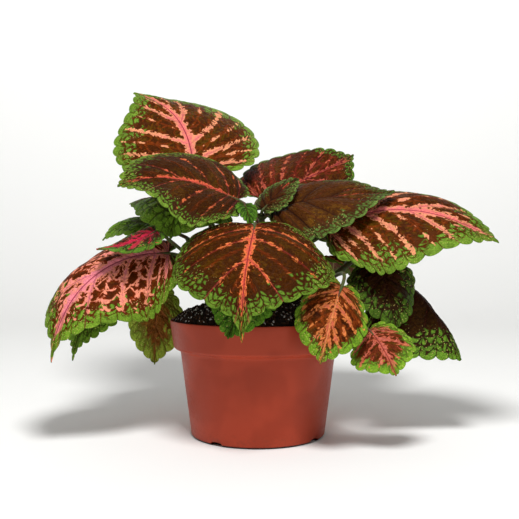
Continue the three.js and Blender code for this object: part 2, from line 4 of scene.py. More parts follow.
import bpy
import numpy as np
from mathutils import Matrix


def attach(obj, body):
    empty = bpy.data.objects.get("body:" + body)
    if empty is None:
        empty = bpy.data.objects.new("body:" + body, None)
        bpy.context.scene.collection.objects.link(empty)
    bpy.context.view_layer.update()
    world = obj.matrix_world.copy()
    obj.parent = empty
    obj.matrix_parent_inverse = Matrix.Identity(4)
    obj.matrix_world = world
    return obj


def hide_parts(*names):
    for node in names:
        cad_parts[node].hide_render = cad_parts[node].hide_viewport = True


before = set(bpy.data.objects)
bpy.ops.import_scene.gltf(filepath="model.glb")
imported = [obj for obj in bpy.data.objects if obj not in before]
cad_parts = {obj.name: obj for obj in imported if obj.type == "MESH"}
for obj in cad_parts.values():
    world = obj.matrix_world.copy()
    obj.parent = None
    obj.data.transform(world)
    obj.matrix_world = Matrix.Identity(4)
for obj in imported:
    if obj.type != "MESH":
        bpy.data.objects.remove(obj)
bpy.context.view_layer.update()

# A potted kong coleus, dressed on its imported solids. Leaf, pot and shoot sizes are in millimetres, as in the
# part's source. What reaches Blender is in metres, in the row frame: +Z up, the plant's front towards -Y.
MM = 0.001

# The photograph's camera: level, in front of the pot, with its focal length in pixels of the square frame
CAMERA_PLACE = (0.0013, -0.620, 0.1485)
CAMERA_FOCAL = 722
FRAME_WIDTH = 519
SENSOR_WIDTH = 36

# Light: a lamp above and in front of the plant, in metres, and an even glow all round, which looks brighter
# than it is where it shows beyond the floor
LAMP_PLACE = (0.01, -0.38, 0.66)
LAMP_RADIUS = 0.1
LAMP_BRIGHTNESS = 0.84
WORLD_BRIGHTNESS = 0.28
SKY_BRIGHTNESS = 0.95

# Backdrop, in metres: where the floor starts and where it starts to curve up, and how wide and high it is
FLOOR_FRONT = -5.0
FLOOR_BEND = 1.0
BEND_RADIUS = 1.6
WALL_HEIGHT = 4.0
FLOOR_HALF_WIDTH = 5.0
PAPER = (250, 250, 248)

# Pot. DRAIN_CUT: the radii between which a drain slot is cut. INSIDE_DROP: how far below the rim the inner wall
# ends. RIM_EASE: how much narrower than the rim its rounded edge is.
RIM_RADIUS = 75
POT_HEIGHT = 97.6
COLLAR_BOTTOM_RADIUS = 71.7
COLLAR_HEIGHT = 24.4
BODY_TOP_RADIUS = 65.7
STEP_HEIGHT = 4.9
BASE_RADIUS = 57
BASE_ROUNDING = 2.4
COLLAR_ROUNDING = 3
RIM_ROUNDING = 0.7
POT_WALL = 1.8
POT_FLOOR = 2.2
POT_SIDES = 192
DRAIN_SLOTS = 4
DRAIN_SLOT_WIDTH = 11.7
DRAIN_SLOT_HEIGHT = 3.3
DRAIN_SLOT_TURN = 54
DRAIN_CUT = (BASE_RADIUS - 5, BASE_RADIUS + 3)
INSIDE_DROP = 0.5
RIM_EASE = 0.1
COLLAR_STEP = POT_HEIGHT - COLLAR_HEIGHT
POT_INSIDE = [
    (BASE_RADIUS - POT_WALL, POT_FLOOR),
    (BODY_TOP_RADIUS - POT_WALL, COLLAR_STEP - STEP_HEIGHT + POT_WALL),
    (COLLAR_BOTTOM_RADIUS - POT_WALL, COLLAR_STEP + POT_WALL),
    (RIM_RADIUS - POT_WALL, POT_HEIGHT - INSIDE_DROP),
]

# Soil, and the bits that are strewn over it, each turned by up to BIT_TURN radians about every axis
SOIL_EDGE_HEIGHT = 93
SOIL_MOUND_HEIGHT = 115
SOIL_MOUND_FULLNESS = 0.45
SOIL_SIDES = 120
SOIL_RINGS = 40
SEAT_GAP = 0.3
CRUMBS = {"Bits per square metre": 160000, "Smallest": 0.5 * MM, "Largest": 1.5 * MM}
PERLITE = {"Bits per square metre": 42000, "Smallest": 0.3 * MM, "Largest": 1.3 * MM}
BIT_TURN = 6.2

# Shoots: the radius at both ends and points along the middle, from where the shoot leaves the soil to its top;
# how long its foot in the soil is, and how steeply that runs down at least
SHOOT_DEPTH = 16
SHOOT_FOOT_SLOPE = -0.85
SHOOT_SIDES = 24
SHOOT_STEPS = 90
SHOOT_SQUARENESS = 0.1
SHOOTS = {
    "main_shoot": ((4.2, 2.2), [(2, 1, 111), (3, 0, 138), (3.2, -3, 165), (3.4, -6, 188)]),
    "left_shoot": ((3.4, 1.9), [(-17, -5, 109), (-37, -6, 128), (-53, -2, 149), (-61, 3, 167)]),
    "right_shoot": ((3.4, 1.9), [(17, -6, 109), (40, -9, 119), (66, -9, 136), (86, -6, 153)]),
    "back_left_shoot": ((3.4, 1.9), [(-12, 14, 109), (-24, 32, 134), (-36, 46, 160), (-44, 54, 186)]),
    "back_shoot": ((3.4, 1.9), [(10, 18, 108), (18, 40, 124), (24, 56, 146), (27, 66, 168)]),
}

# Hairs on the shoots: Smallest and Largest are shares of the full size. HAIR_FOOT: radius at the foot, in mm.
# HAIR_LEAN: how far a hair leans, in radians.
HAIRS = {"Bits per square metre": 350000, "Smallest": 0.6, "Largest": 1.2, "Length": 0.9 * MM}
HAIR_FOOT = 0.05
HAIR_LEAN = 0.6

# Angles, in degrees, above which an edge of a mesh is sharp
SHARP_ANGLE = 42
POT_SHARP_ANGLE = 35

# Blade: half outline as shares of the length and of half the width, then side veins, relief and scallops
OUTLINE = [
    (0, 0), (-0.055, 0.2), (-0.05, 0.5), (0.05, 0.8), (0.2, 0.97), (0.36, 1),
    (0.53, 0.9), (0.69, 0.71), (0.82, 0.47), (0.91, 0.24), (0.965, 0.07), (1, 0),
]
SIDE_VEINS = 6.6
VEIN_CROWDING = 0.95
BASAL_SHARE = 0.25
VEIN_SWEEP = 1.8
TAIL_SHARE = 0.08
BLADE_THICKNESS = 0.5
MIDRIB_DEPTH = 0.8
VEIN_DEPTH = 0.45
VEIN_GROOVE = 0.35
VEIN_HALF_WIDTH = 0.8
MIDRIB_HALF_WIDTH = 1.1
RIB_HALF_WIDTH = 0.9
RIB_FADE = 12
TIP_SHARE = 0.08
PUCKER_HEIGHT = 1.5
EDGE_WAVE = 1.6
EDGE_WAVES = 2.5
EDGE_WAVE_FADE = 0.2
FULL_RELIEF_WIDTH = 100
SCALLOP_DEPTH = 3
SCALLOP_DEEPEST_SHARE = 0.07
SCALLOPS_PER_VEIN = 2.4
SMALL_SCALLOP_DEPTH = 2
SMALL_SCALLOPS_PER_VEIN = 1.6
SCALLOP_VARIETY = 0.25
SCALLOP_REACH = 6
SCALLOP_FADE = (0.25, 0.15)
SMALL_LEAF = 76
SPINE_STEPS = 40
NARROWEST = 0.5

# The net of small veins: how far apart its knots lie along a side vein, how high a blade of full size puffs
# between them, and how far from its edge it lies flat
NET_SPACING = 5.2
NET_PUFF = 0.6
FULL_PUFF_WIDTH = 70
FLAT_BORDER = 3.0

# Cells of the net for each of its steps and for each scallop, of the finer net that frays the colours' edges,
# and of the coarser net that the bands follow
NET_GRAIN = (1.0, 2.0)
FINE_GRAIN = (2.6, 4.4)
COARSE_GRAIN = (0.42, 0.8)

# Sizes, in mm, of the patches, blotches and grain of a blade's colours, and colours that all leaves share
PATCH_SIZE = 26
BLOTCH_SIZE = 7
GRAIN_SIZE = 1.3
SPECK = (216, 196, 112)
UNDER_PATCH_SIZE = 24
UNDER_GRAIN_SIZE = 1.5
UNDER_GROUND = (98, 56, 44)
UNDER_BORDER = (92, 112, 52)
UNDER_BLUSH = (124, 66, 62)
UNDER_VEIN = (150, 136, 88)

# How fine a blade's mesh is: rows for each scallop, and places on the way from the midrib (0) to the edge (1)
ROWS_PER_SCALLOP = 9
TOP_PLACES = (0, 0.008, 0.018, 0.032, 0.05, 0.075, *np.linspace(0.11, 0.97, 22), 0.987, 1)
UNDER_PLACES = TOP_PLACES[::3] + (1,)

# Leaf stalk
STALK_SIDES = 12
STALK_STEPS = 28
STALK_RADIUS = (2.0, 1.45)
STALK_RUN_OUT = 10
STALK_RUN_OUT_SHARE = 0.15
STALK_RUN_OUT_RADIUS = 0.7

# Leaves. share: how far up the shoot the stalk leaves it. bow: how far before the base, in mm, the stalk
# already runs in line with the midrib. base: where the blade starts. heading, pitch and roll: degrees at the
# base, middle and tip of the midrib, heading from +X towards +Y. length and width: of the blade. left and
# right: how far that half is folded up and then curls down, in degrees. blunt: how much fuller the tip half
# is. tail: how far, in mm, the tip is drawn out. slot: its material slot in the row. look: its colouring.
LEAF_COLUMNS = (
    "name", "shoot", "share", "bow", "base", "heading", "pitch", "roll", "length", "width", "left", "right",
    "blunt", "tail", "slot", "look")
LEAVES = [
    ("leaf_tall_left", "back_left_shoot", 0.93, 8, (-58.5, 33, 230), (100, 130, 172), (55, 43, 14),
     (-10, -18, -15), 132, 138, (5, 30), (5, 28), 0, 0, "leaf_patterned", "sunset"),
    ("leaf_upper_left", "main_shoot", 0.93, 10, (-17, -12, 198.5), (188, 194, 200), (28, 7, -26),
     (-34, -38, -30), 104, 101, (12, 30), (12, 32), 0.35, 0, "leaf_dark", "twilight"),
    ("leaf_front", "main_shoot", 0.66, 16, (-2.5, -48, 175.5), (-92, -103, -96), (-20, -55, -80), (0, 0, 0),
     93, 125, (5, 52), (5, 38), 0.35, 16, "leaf_dark", "ember"),
    ("leaf_upper_back", "main_shoot", 0.72, 10, (2, 42, 204), (30, 22, 12), (24, 24, 30), (36, 40, 46), 108,
     96, (6, 24), (-6, 55), 0.4, 0, "leaf_dark", "mottled"),
    ("leaf_upper_right", "main_shoot", 0.93, 6, (13.5, -10, 189.5), (-5, -5, 0), (25, 5, 8), (34, 30, 20),
     103, 94, (8, 30), (8, 45), 0, 0, "leaf_dark", "dusk"),
    ("leaf_young_right", "main_shoot", 0.99, 3, (4.5, -14, 190.5), (20, 25, 30), (50, 40, 25), (25, 25, 25),
     44, 34, (10, 30), (10, 30), 0, 0, "leaf_dark", "dusk"),
    ("leaf_young_left", "main_shoot", 0.84, 2, (-11, -29, 193.5), (-70, -65, -60), (-40, -55, -75),
     (0, 0, 0), 22, 18, (20, 30), (20, 30), 0, 0, "leaf_dark", "moss"),
    ("leaf_right", "main_shoot", 0.5, 26, (59.5, -14, 172.5), (-8, -12, -15), (36, -6, -33), (40, 40, 35),
     142, 122, (5, 62), (5, 48), 0, 4, "leaf_patterned", "sunset"),
    ("leaf_low_right_front", "right_shoot", 0.6, 18, (64, -69, 127.5), (232, 226, 218), (-54, -66, -72),
     (-48, -48, -48), 62, 44, (5, 12), (5, 40), 0.75, 0, "leaf_patterned", "fiery"),
    ("leaf_low_right_small", "right_shoot", 0.3, 22, (86.5, -60, 93.5), (-50, -50, -50), (-34, -52, -60),
     (30, 30, 30), 42, 40, (5, 20), (5, 20), 0.9, 0, "leaf_patterned", "blush"),
    ("leaf_low_right_back", "right_shoot", 1, 8, (108, 5, 139), (-15, -25, -30), (-20, -52, -65),
     (20, 25, 25), 102, 126, (-25, 90), (-22, 10), 0.45, 0, "leaf_green_brown", "night"),
    ("leaf_low_right_middle", "right_shoot", 0.9, 8, (100.5, -15, 144.5), (-80, -60, -60), (-40, -65, -80),
     (10, 10, 10), 60, 64, (5, 40), (5, 40), 0, 0, "leaf_green_brown", "shade"),
    ("leaf_left", "left_shoot", 0.5, 14, (-74.5, -20, 153.5), (195, 208, 220), (4, -38, -80),
     (-45, -42, -15), 130, 112, (5, 50), (0, 92), 0, 12, "leaf_patterned", "rosy"),
    ("leaf_low_left", "left_shoot", 0.3, 16, (-100, 0, 129), (200, 215, 230), (-5, -45, -75),
     (-20, -20, -10), 87, 62, (5, 40), (5, 40), 0, 7, "leaf_green_brown", "lime"),
    ("leaf_low_left_back", "back_left_shoot", 0.3, 20, (-92, 44, 119), (-95, -95, -95), (-62, -80, -85),
     (0, 0, 0), 67, 41, (5, 20), (5, 20), 0.7, 0, "leaf_green_brown", "olive"),
    ("leaf_side_left_upper", "left_shoot", 1, 5, (-92, 14, 180), (183, 180, 178), (10, -18, -50),
     (-24, -24, -24), 49, 44, (10, 30), (10, 30), 0, 0, "leaf_patterned", "lime"),
    ("leaf_side_left_lower", "left_shoot", 0.62, 3, (-83, -35, 171), (205, 200, 195), (-26, -20, 3),
     (-25, -20, -10), 50, 46, (15, 30), (10, 45), 0, 0, "leaf_patterned", "cherry"),
    ("leaf_shaded_left", "back_left_shoot", 0.76, 12, (-55.5, 31, 201), (250, 252, 255), (20, -35, -78),
     (-10, -10, -10), 73, 98, (5, 50), (5, 40), 0, 0, "leaf_green_brown", "lime"),
    ("leaf_low_front", "main_shoot", 0.1, 18, (-1.5, -66, 131), (220, 225, 225), (-30, -60, -60),
     (-30, -30, -30), 51, 50, (5, 30), (5, 30), 0, 0, "leaf_green_brown", "moss"),
    ("leaf_shaded_right", "right_shoot", 0.8, 8, (90, 28, 153), (-5, -8, -10), (-5, -15, -45), (10, 10, 10),
     48, 44, (5, 40), (5, 40), 0, 0, "leaf_green_brown", "shade"),
    ("leaf_back_right", "back_shoot", 1, 12, (40, 86, 177), (20, 28, 35), (20, 0, -28), (10, 10, 5), 118,
     108, (5, 40), (5, 40), 0, 0, "leaf_dark", "ember"),
    ("leaf_back", "back_shoot", 0.95, 10, (12, 78, 166), (115, 108, 100), (15, -22, -58), (0, 0, 0), 116,
     108, (5, 45), (5, 45), 0, 0, "leaf_dark", "mottled"),
    ("leaf_back_left", "back_left_shoot", 1, 10, (-50, 70, 198), (130, 135, 140), (20, 2, -28), (0, 0, 0),
     112, 104, (5, 40), (5, 40), 0, 0, "leaf_patterned", "sunset"),
    ("leaf_low_back_left", "back_left_shoot", 0.6, 14, (-62, 58, 152), (150, 145, 140), (8, -30, -62),
     (0, 0, 0), 100, 88, (5, 45), (5, 45), 0, 0, "leaf_dark", "ember"),
    ("leaf_low_back_right", "back_shoot", 0.7, 12, (56, 62, 150), (35, 40, 45), (8, -18, -50), (0, 0, 0), 92,
     80, (5, 45), (5, 40), 0, 0, "leaf_patterned", "fiery"),
    ("leaf_low_back", "back_shoot", 0.3, 16, (0, 66, 126), (95, 92, 90), (-5, -45, -75), (0, 0, 0), 88, 78,
     (5, 45), (5, 45), 0, 0, "leaf_green_brown", "moss"),
]

# Colours of a look, as they show on a screen. heart and flame: the middle and the rim of the bands along the
# veins. line: their midline. halo: the glow beside them. brown and olive: the ground. green, rim_shade and
# seam: the patches of the border, the painted shade at their rims and the veins between them.
COLOURS = ("heart", "flame", "line", "brown", "olive", "halo", "green", "rim_shade", "seam")

# Measures of a look. midrib, lateral and net: half widths of the bands, in mm. jag and comb: how far coarse
# and fine teeth fray the bands, in mm. reach: how far from the bands the net shows, in mm. strength: how much
# the bands cover. margin: width of the green border, in mm. tip: how much wider it is at the tip. lobe: depth
# of its outer row, in mm. gaps: how wide the brown between its cells grows inwards, as a share of a cell.
# grain: how many of its cells there are for each step of the net and for each scallop. stop: where the side
# bands end, as a share of the border's width. inked: how plain the lines of the side veins are. breaks: how
# often the side bands break. starts: how far up the midrib its band is whole. Where a look doesn't give its
# own, these hold:
USUAL = {"net": 0.0, "strength": 1.0, "gaps": 0.16, "stop": 0.5, "inked": 0.4, "breaks": 1.1, "starts": 0.0}


def new_look(colours, **measures):
    return {**USUAL, **dict(zip(COLOURS, colours)), **measures}


LOOKS = {
    "rosy": new_look(
        [(255, 146, 158), (254, 156, 116), (150, 36, 62), (86, 34, 3), (98, 48, 2), (134, 42, 8),
         (124, 158, 46), (70, 108, 22), (96, 42, 10)],
        midrib=5.6, lateral=3.1, net=1.05, jag=2.0, comb=3.4, reach=13.0, margin=19, tip=0.3, lobe=7.5,
        grain=(0.8, 1.6), stop=0.75, breaks=0.35),
    "sunset": new_look(
        [(254, 132, 128), (252, 170, 118), (150, 36, 62), (78, 35, 3), (88, 56, 2), (128, 50, 6),
         (122, 156, 50), (66, 102, 24), (92, 44, 10)],
        midrib=4.8, lateral=3.1, jag=1.8, comb=3.8, reach=6.0, margin=21, tip=0.6, lobe=8.0,
        grain=(0.85, 1.8), stop=0.4, inked=0.35, breaks=0.55),
    "ember": new_look(
        [(244, 108, 78), (250, 142, 68), (168, 52, 60), (74, 35, 1), (82, 48, 1), (116, 42, 4),
         (116, 150, 48), (76, 108, 28), (66, 34, 8)],
        midrib=2.9, lateral=1.5, net=0.2, jag=1.2, comb=3.2, reach=2.5, margin=18, tip=0.2, lobe=2.8,
        gaps=0.22, grain=(1.05, 3.0), inked=0.55, breaks=1.3),
    "twilight": new_look(
        [(234, 100, 74), (234, 128, 66), (160, 56, 62), (66, 32, 3), (80, 47, 3), (94, 38, 6),
         (120, 152, 50), (66, 98, 28), (64, 36, 14)],
        midrib=2.3, lateral=0.8, net=0.1, jag=1.8, comb=3.2, reach=2.5, strength=0.95, margin=16, tip=0.3,
        lobe=4.0, gaps=0.22, grain=(1.2, 3.0), inked=0.3, breaks=1.3),
    "dusk": new_look(
        [(222, 92, 72), (196, 88, 50), (34, 16, 8), (84, 44, 9), (102, 64, 12), (88, 42, 18), (106, 136, 60),
         (72, 94, 38), (68, 40, 16)],
        midrib=1.5, lateral=0.9, jag=0.4, comb=1.6, reach=1.5, strength=0.9, margin=12, tip=0.8, lobe=2.6,
        grain=(1.5, 3.6), inked=0.9, starts=0.7),
    "night": new_look(
        [(190, 84, 60), (150, 70, 40), (36, 16, 10), (54, 26, 6), (62, 36, 6), (62, 26, 12), (108, 148, 42),
         (56, 88, 28), (52, 30, 12)],
        midrib=0.3, lateral=0.2, jag=0.4, comb=0.6, reach=1.5, strength=0.5, margin=20, tip=0.2, lobe=6.0,
        grain=(0.8, 1.7), inked=0.5, starts=0.5),
    # A darker copy of the look above: painted shade for leaves that lie in the shade of others
    "shade": new_look(
        [(190, 84, 60), (150, 70, 40), (36, 16, 10), (52, 26, 4), (58, 38, 4), (62, 26, 12), (84, 116, 32),
         (46, 68, 22), (44, 26, 8)],
        midrib=0.3, lateral=0.2, jag=0.4, comb=0.6, reach=1.5, strength=0.5, margin=16, tip=0.2, lobe=6.0,
        grain=(0.8, 1.7), inked=0.5, starts=0.5),
    "mottled": new_look(
        [(234, 108, 96), (242, 132, 78), (120, 26, 50), (80, 34, 6), (90, 48, 6), (124, 38, 26),
         (98, 136, 42), (50, 80, 26), (62, 32, 16)],
        midrib=1.2, lateral=1.3, net=0.1, jag=2.4, comb=3.2, reach=5.0, strength=0.68, margin=6, tip=0.8,
        lobe=3.0, grain=(1.2, 2.4), breaks=0.8),
    "fiery": new_look(
        [(230, 112, 84), (234, 142, 68), (232, 150, 90), (70, 29, 2), (84, 44, 2), (136, 56, 12),
         (126, 166, 42), (70, 112, 30), (84, 60, 20)],
        midrib=2.2, lateral=2.0, jag=2.2, comb=3.4, reach=5.0, strength=0.85, margin=9, tip=1.0, lobe=7.0,
        grain=(1.1, 2.2), stop=0.7, inked=0.2, breaks=0.6),
    "blush": new_look(
        [(236, 126, 108), (214, 104, 66), (150, 56, 44), (84, 36, 6), (92, 54, 6), (126, 48, 24),
         (130, 170, 44), (88, 134, 36), (92, 116, 34)],
        midrib=2.2, lateral=1.8, jag=3.0, comb=3.2, reach=10.0, strength=0.8, margin=8, tip=0.5, lobe=6.0,
        grain=(1.0, 1.8), stop=0.75, inked=0.1, breaks=0.8),
    "cherry": new_look(
        [(216, 44, 78), (200, 62, 62), (120, 20, 44), (60, 36, 15), (64, 56, 18), (104, 34, 28),
         (100, 142, 40), (54, 90, 28), (54, 60, 22)],
        midrib=3.4, lateral=1.8, net=0.6, jag=3.2, comb=2.4, reach=4.0, margin=13, tip=0.6, lobe=6.0,
        grain=(1.0, 1.8)),
    # A brighter copy of the look below: painted light on green leaves that the lamp leaves in shade
    "lime": new_look(
        [(140, 120, 60), (110, 130, 50), (70, 80, 26), (70, 76, 22), (84, 96, 26), (90, 90, 30),
         (124, 166, 48), (84, 124, 36), (70, 90, 26)],
        midrib=0.6, lateral=0.3, jag=0.3, comb=0.3, reach=1.0, strength=0.6, margin=30, tip=0.2, lobe=7.5,
        grain=(0.8, 1.5)),
    # A darker copy of the look above: painted shade for green leaves in the shade of others
    "moss": new_look(
        [(130, 92, 44), (100, 110, 44), (56, 60, 22), (52, 66, 22), (60, 84, 24), (60, 70, 24),
         (98, 146, 38), (62, 104, 32), (52, 80, 26)],
        midrib=0.7, lateral=0.3, jag=0.3, comb=0.3, reach=1.0, strength=0.6, margin=24, tip=0.2, lobe=7.0,
        grain=(0.8, 1.6)),
    "olive": new_look(
        [(196, 112, 60), (160, 104, 46), (110, 70, 30), (124, 78, 28), (132, 96, 34), (130, 78, 30),
         (152, 174, 60), (112, 138, 42), (112, 118, 40)],
        midrib=0.9, lateral=0.5, net=0.3, jag=2.0, comb=1.6, reach=3.0, strength=0.6, margin=15, tip=0.5,
        lobe=8.0, grain=(0.8, 1.5)),
}

def linear(colour):
    """A colour as it shows on a screen, 0 to 255, as Blender reads it."""
    shares = [c / 255 for c in colour]
    return [c / 12.92 if c <= 0.04045 else ((c + 0.055) / 1.055) ** 2.4 for c in shares] + [1]


class Field:
    """A value in a node tree. Sums and products of fields add Math nodes to the tree."""

    def __init__(self, tree, socket):
        self.tree = tree
        self.socket = socket

    def maths(self, operation, *others, clamped=False):
        node = put(self.tree, "ShaderNodeMath", operation=operation, use_clamp=clamped)
        for socket, value in zip(node.inputs, (self, *others)):
            feed(self.tree, socket, value)
        return Field(self.tree, node.outputs[0])

    __add__ = partialmethod(maths, "ADD")
    __sub__ = partialmethod(maths, "SUBTRACT")
    __mul__ = partialmethod(maths, "MULTIPLY")
    __truediv__ = partialmethod(maths, "DIVIDE")
    __pow__ = partialmethod(maths, "POWER")
    smallest = partialmethod(maths, "MINIMUM")
    largest = partialmethod(maths, "MAXIMUM")
    clamped = partialmethod(maths, "ADD", 0, clamped=True)

    def step(self, low, high):
        """0 where the value is low, 1 where it is high, and smooth between."""
        inputs = {"Value": self, "From Min": low, "From Max": high}
        return field(self.tree, "ShaderNodeMapRange", inputs, interpolation_type="SMOOTHSTEP")

    def comb(self, period):
        """A row of teeth: 0 at every whole period and 1 halfway."""
        return self.maths("PINGPONG", period / 2) * (2 / period)


def feed(tree, socket, value):
    """Links a field to a socket, or sets a plain value on it."""
    if isinstance(value, Field):
        tree.links.new(value.socket, socket)
    else:
        socket.default_value = value


def put(tree, kind, inputs=None, **settings):
    """Adds a node with its settings, and feeds its inputs by name or number."""
    node = tree.nodes.new(kind)
    for name, value in settings.items():
        setattr(node, name, value)
    for name, value in (inputs or {}).items():
        feed(tree, node.inputs[name], value)
    return node


def field(tree, kind, inputs=None, output=0, **settings):
    """The value that a new node gives."""
    return Field(tree, put(tree, kind, inputs, **settings).outputs[output])


def split(vector):
    node = put(vector.tree, "ShaderNodeSeparateXYZ", {"Vector": vector})
    return [Field(vector.tree, socket) for socket in node.outputs]


def join(x, y, z=0.0):
    return field(x.tree, "ShaderNodeCombineXYZ", {"X": x, "Y": y, "Z": z})


def vector_maths(operation, vector, other, socket=1):
    return field(vector.tree, "ShaderNodeVectorMath", {0: vector, socket: other}, operation=operation)


shifted = partial(vector_maths, "ADD")
scaled = partial(vector_maths, "MULTIPLY")
brightened = partial(vector_maths, "SCALE", socket="Scale")


def noise(place, scale, detail=2.0, roughness=0.5):
    inputs = {"Vector": place, "Scale": scale, "Detail": detail, "Roughness": roughness}
    return field(place.tree, "ShaderNodeTexNoise", inputs)


def cells(place, feature, output, randomness=0.9):
    inputs = {"Vector": place, "Scale": 1.0, "Randomness": randomness}
    return field(place.tree, "ShaderNodeTexVoronoi", inputs, output, voronoi_dimensions="2D", feature=feature)


def mix(first, second, share):
    """first where share is 0, second where it is 1; each is a field or a colour as it shows on a screen."""
    node = put(share.tree, "ShaderNodeMix", {"Factor": share}, data_type="RGBA")
    for identifier, colour in (("A_Color", first), ("B_Color", second)):
        socket = next(s for s in node.inputs if s.identifier == identifier)
        feed(share.tree, socket, colour if isinstance(colour, Field) else linear(colour))
    return Field(share.tree, next(s for s in node.outputs if s.identifier == "Result_Color"))


class Skin:
    """A material with a Principled shader, whose even qualities are set on its own sockets."""

    def __init__(self, name, **finish):
        self.material = bpy.data.materials.new(name)
        self.material.use_nodes = True
        self.tree = self.material.node_tree
        self.shader = self.tree.nodes["Principled BSDF"]
        for label, value in finish.items():
            self.shader.inputs[label.replace("_", " ")].default_value = value

    def stored(self, name):
        """A field that the mesh holds."""
        return field(self.tree, "ShaderNodeAttribute", output="Vector", attribute_name=name)

    def place(self):
        """Where a point is on the object, in millimetres."""
        return scaled(field(self.tree, "ShaderNodeTexCoord", output="Object"), (1 / MM, 1 / MM, 1 / MM))

    def painted(self, colour, height=None, depth=0.0):
        """The material with its colour, raised by the height field times depth, in millimetres."""
        feed(self.tree, self.shader.inputs["Base Color"], colour)
        if height:
            inputs = {"Height": height, "Distance": depth * MM, "Strength": 1.0}
            feed(self.tree, self.shader.inputs["Normal"], field(self.tree, "ShaderNodeBump", inputs))
        return self.material


def net_place(cell, turn, grain=NET_GRAIN):
    """Where a point lies in a slightly crooked net of veins; grain: its cells for each step and scallop."""
    x, y, _ = split(cell)
    even = join(x * grain[0], y * grain[1] + turn)
    crook = noise(even, 1.3, detail=1.0) - 0.5
    crook_aside = noise(shifted(even, (17.0, 5.0, 3.0)), 1.3, detail=1.0) - 0.5
    return shifted(even, join(crook * 0.7, crook_aside * 0.7))


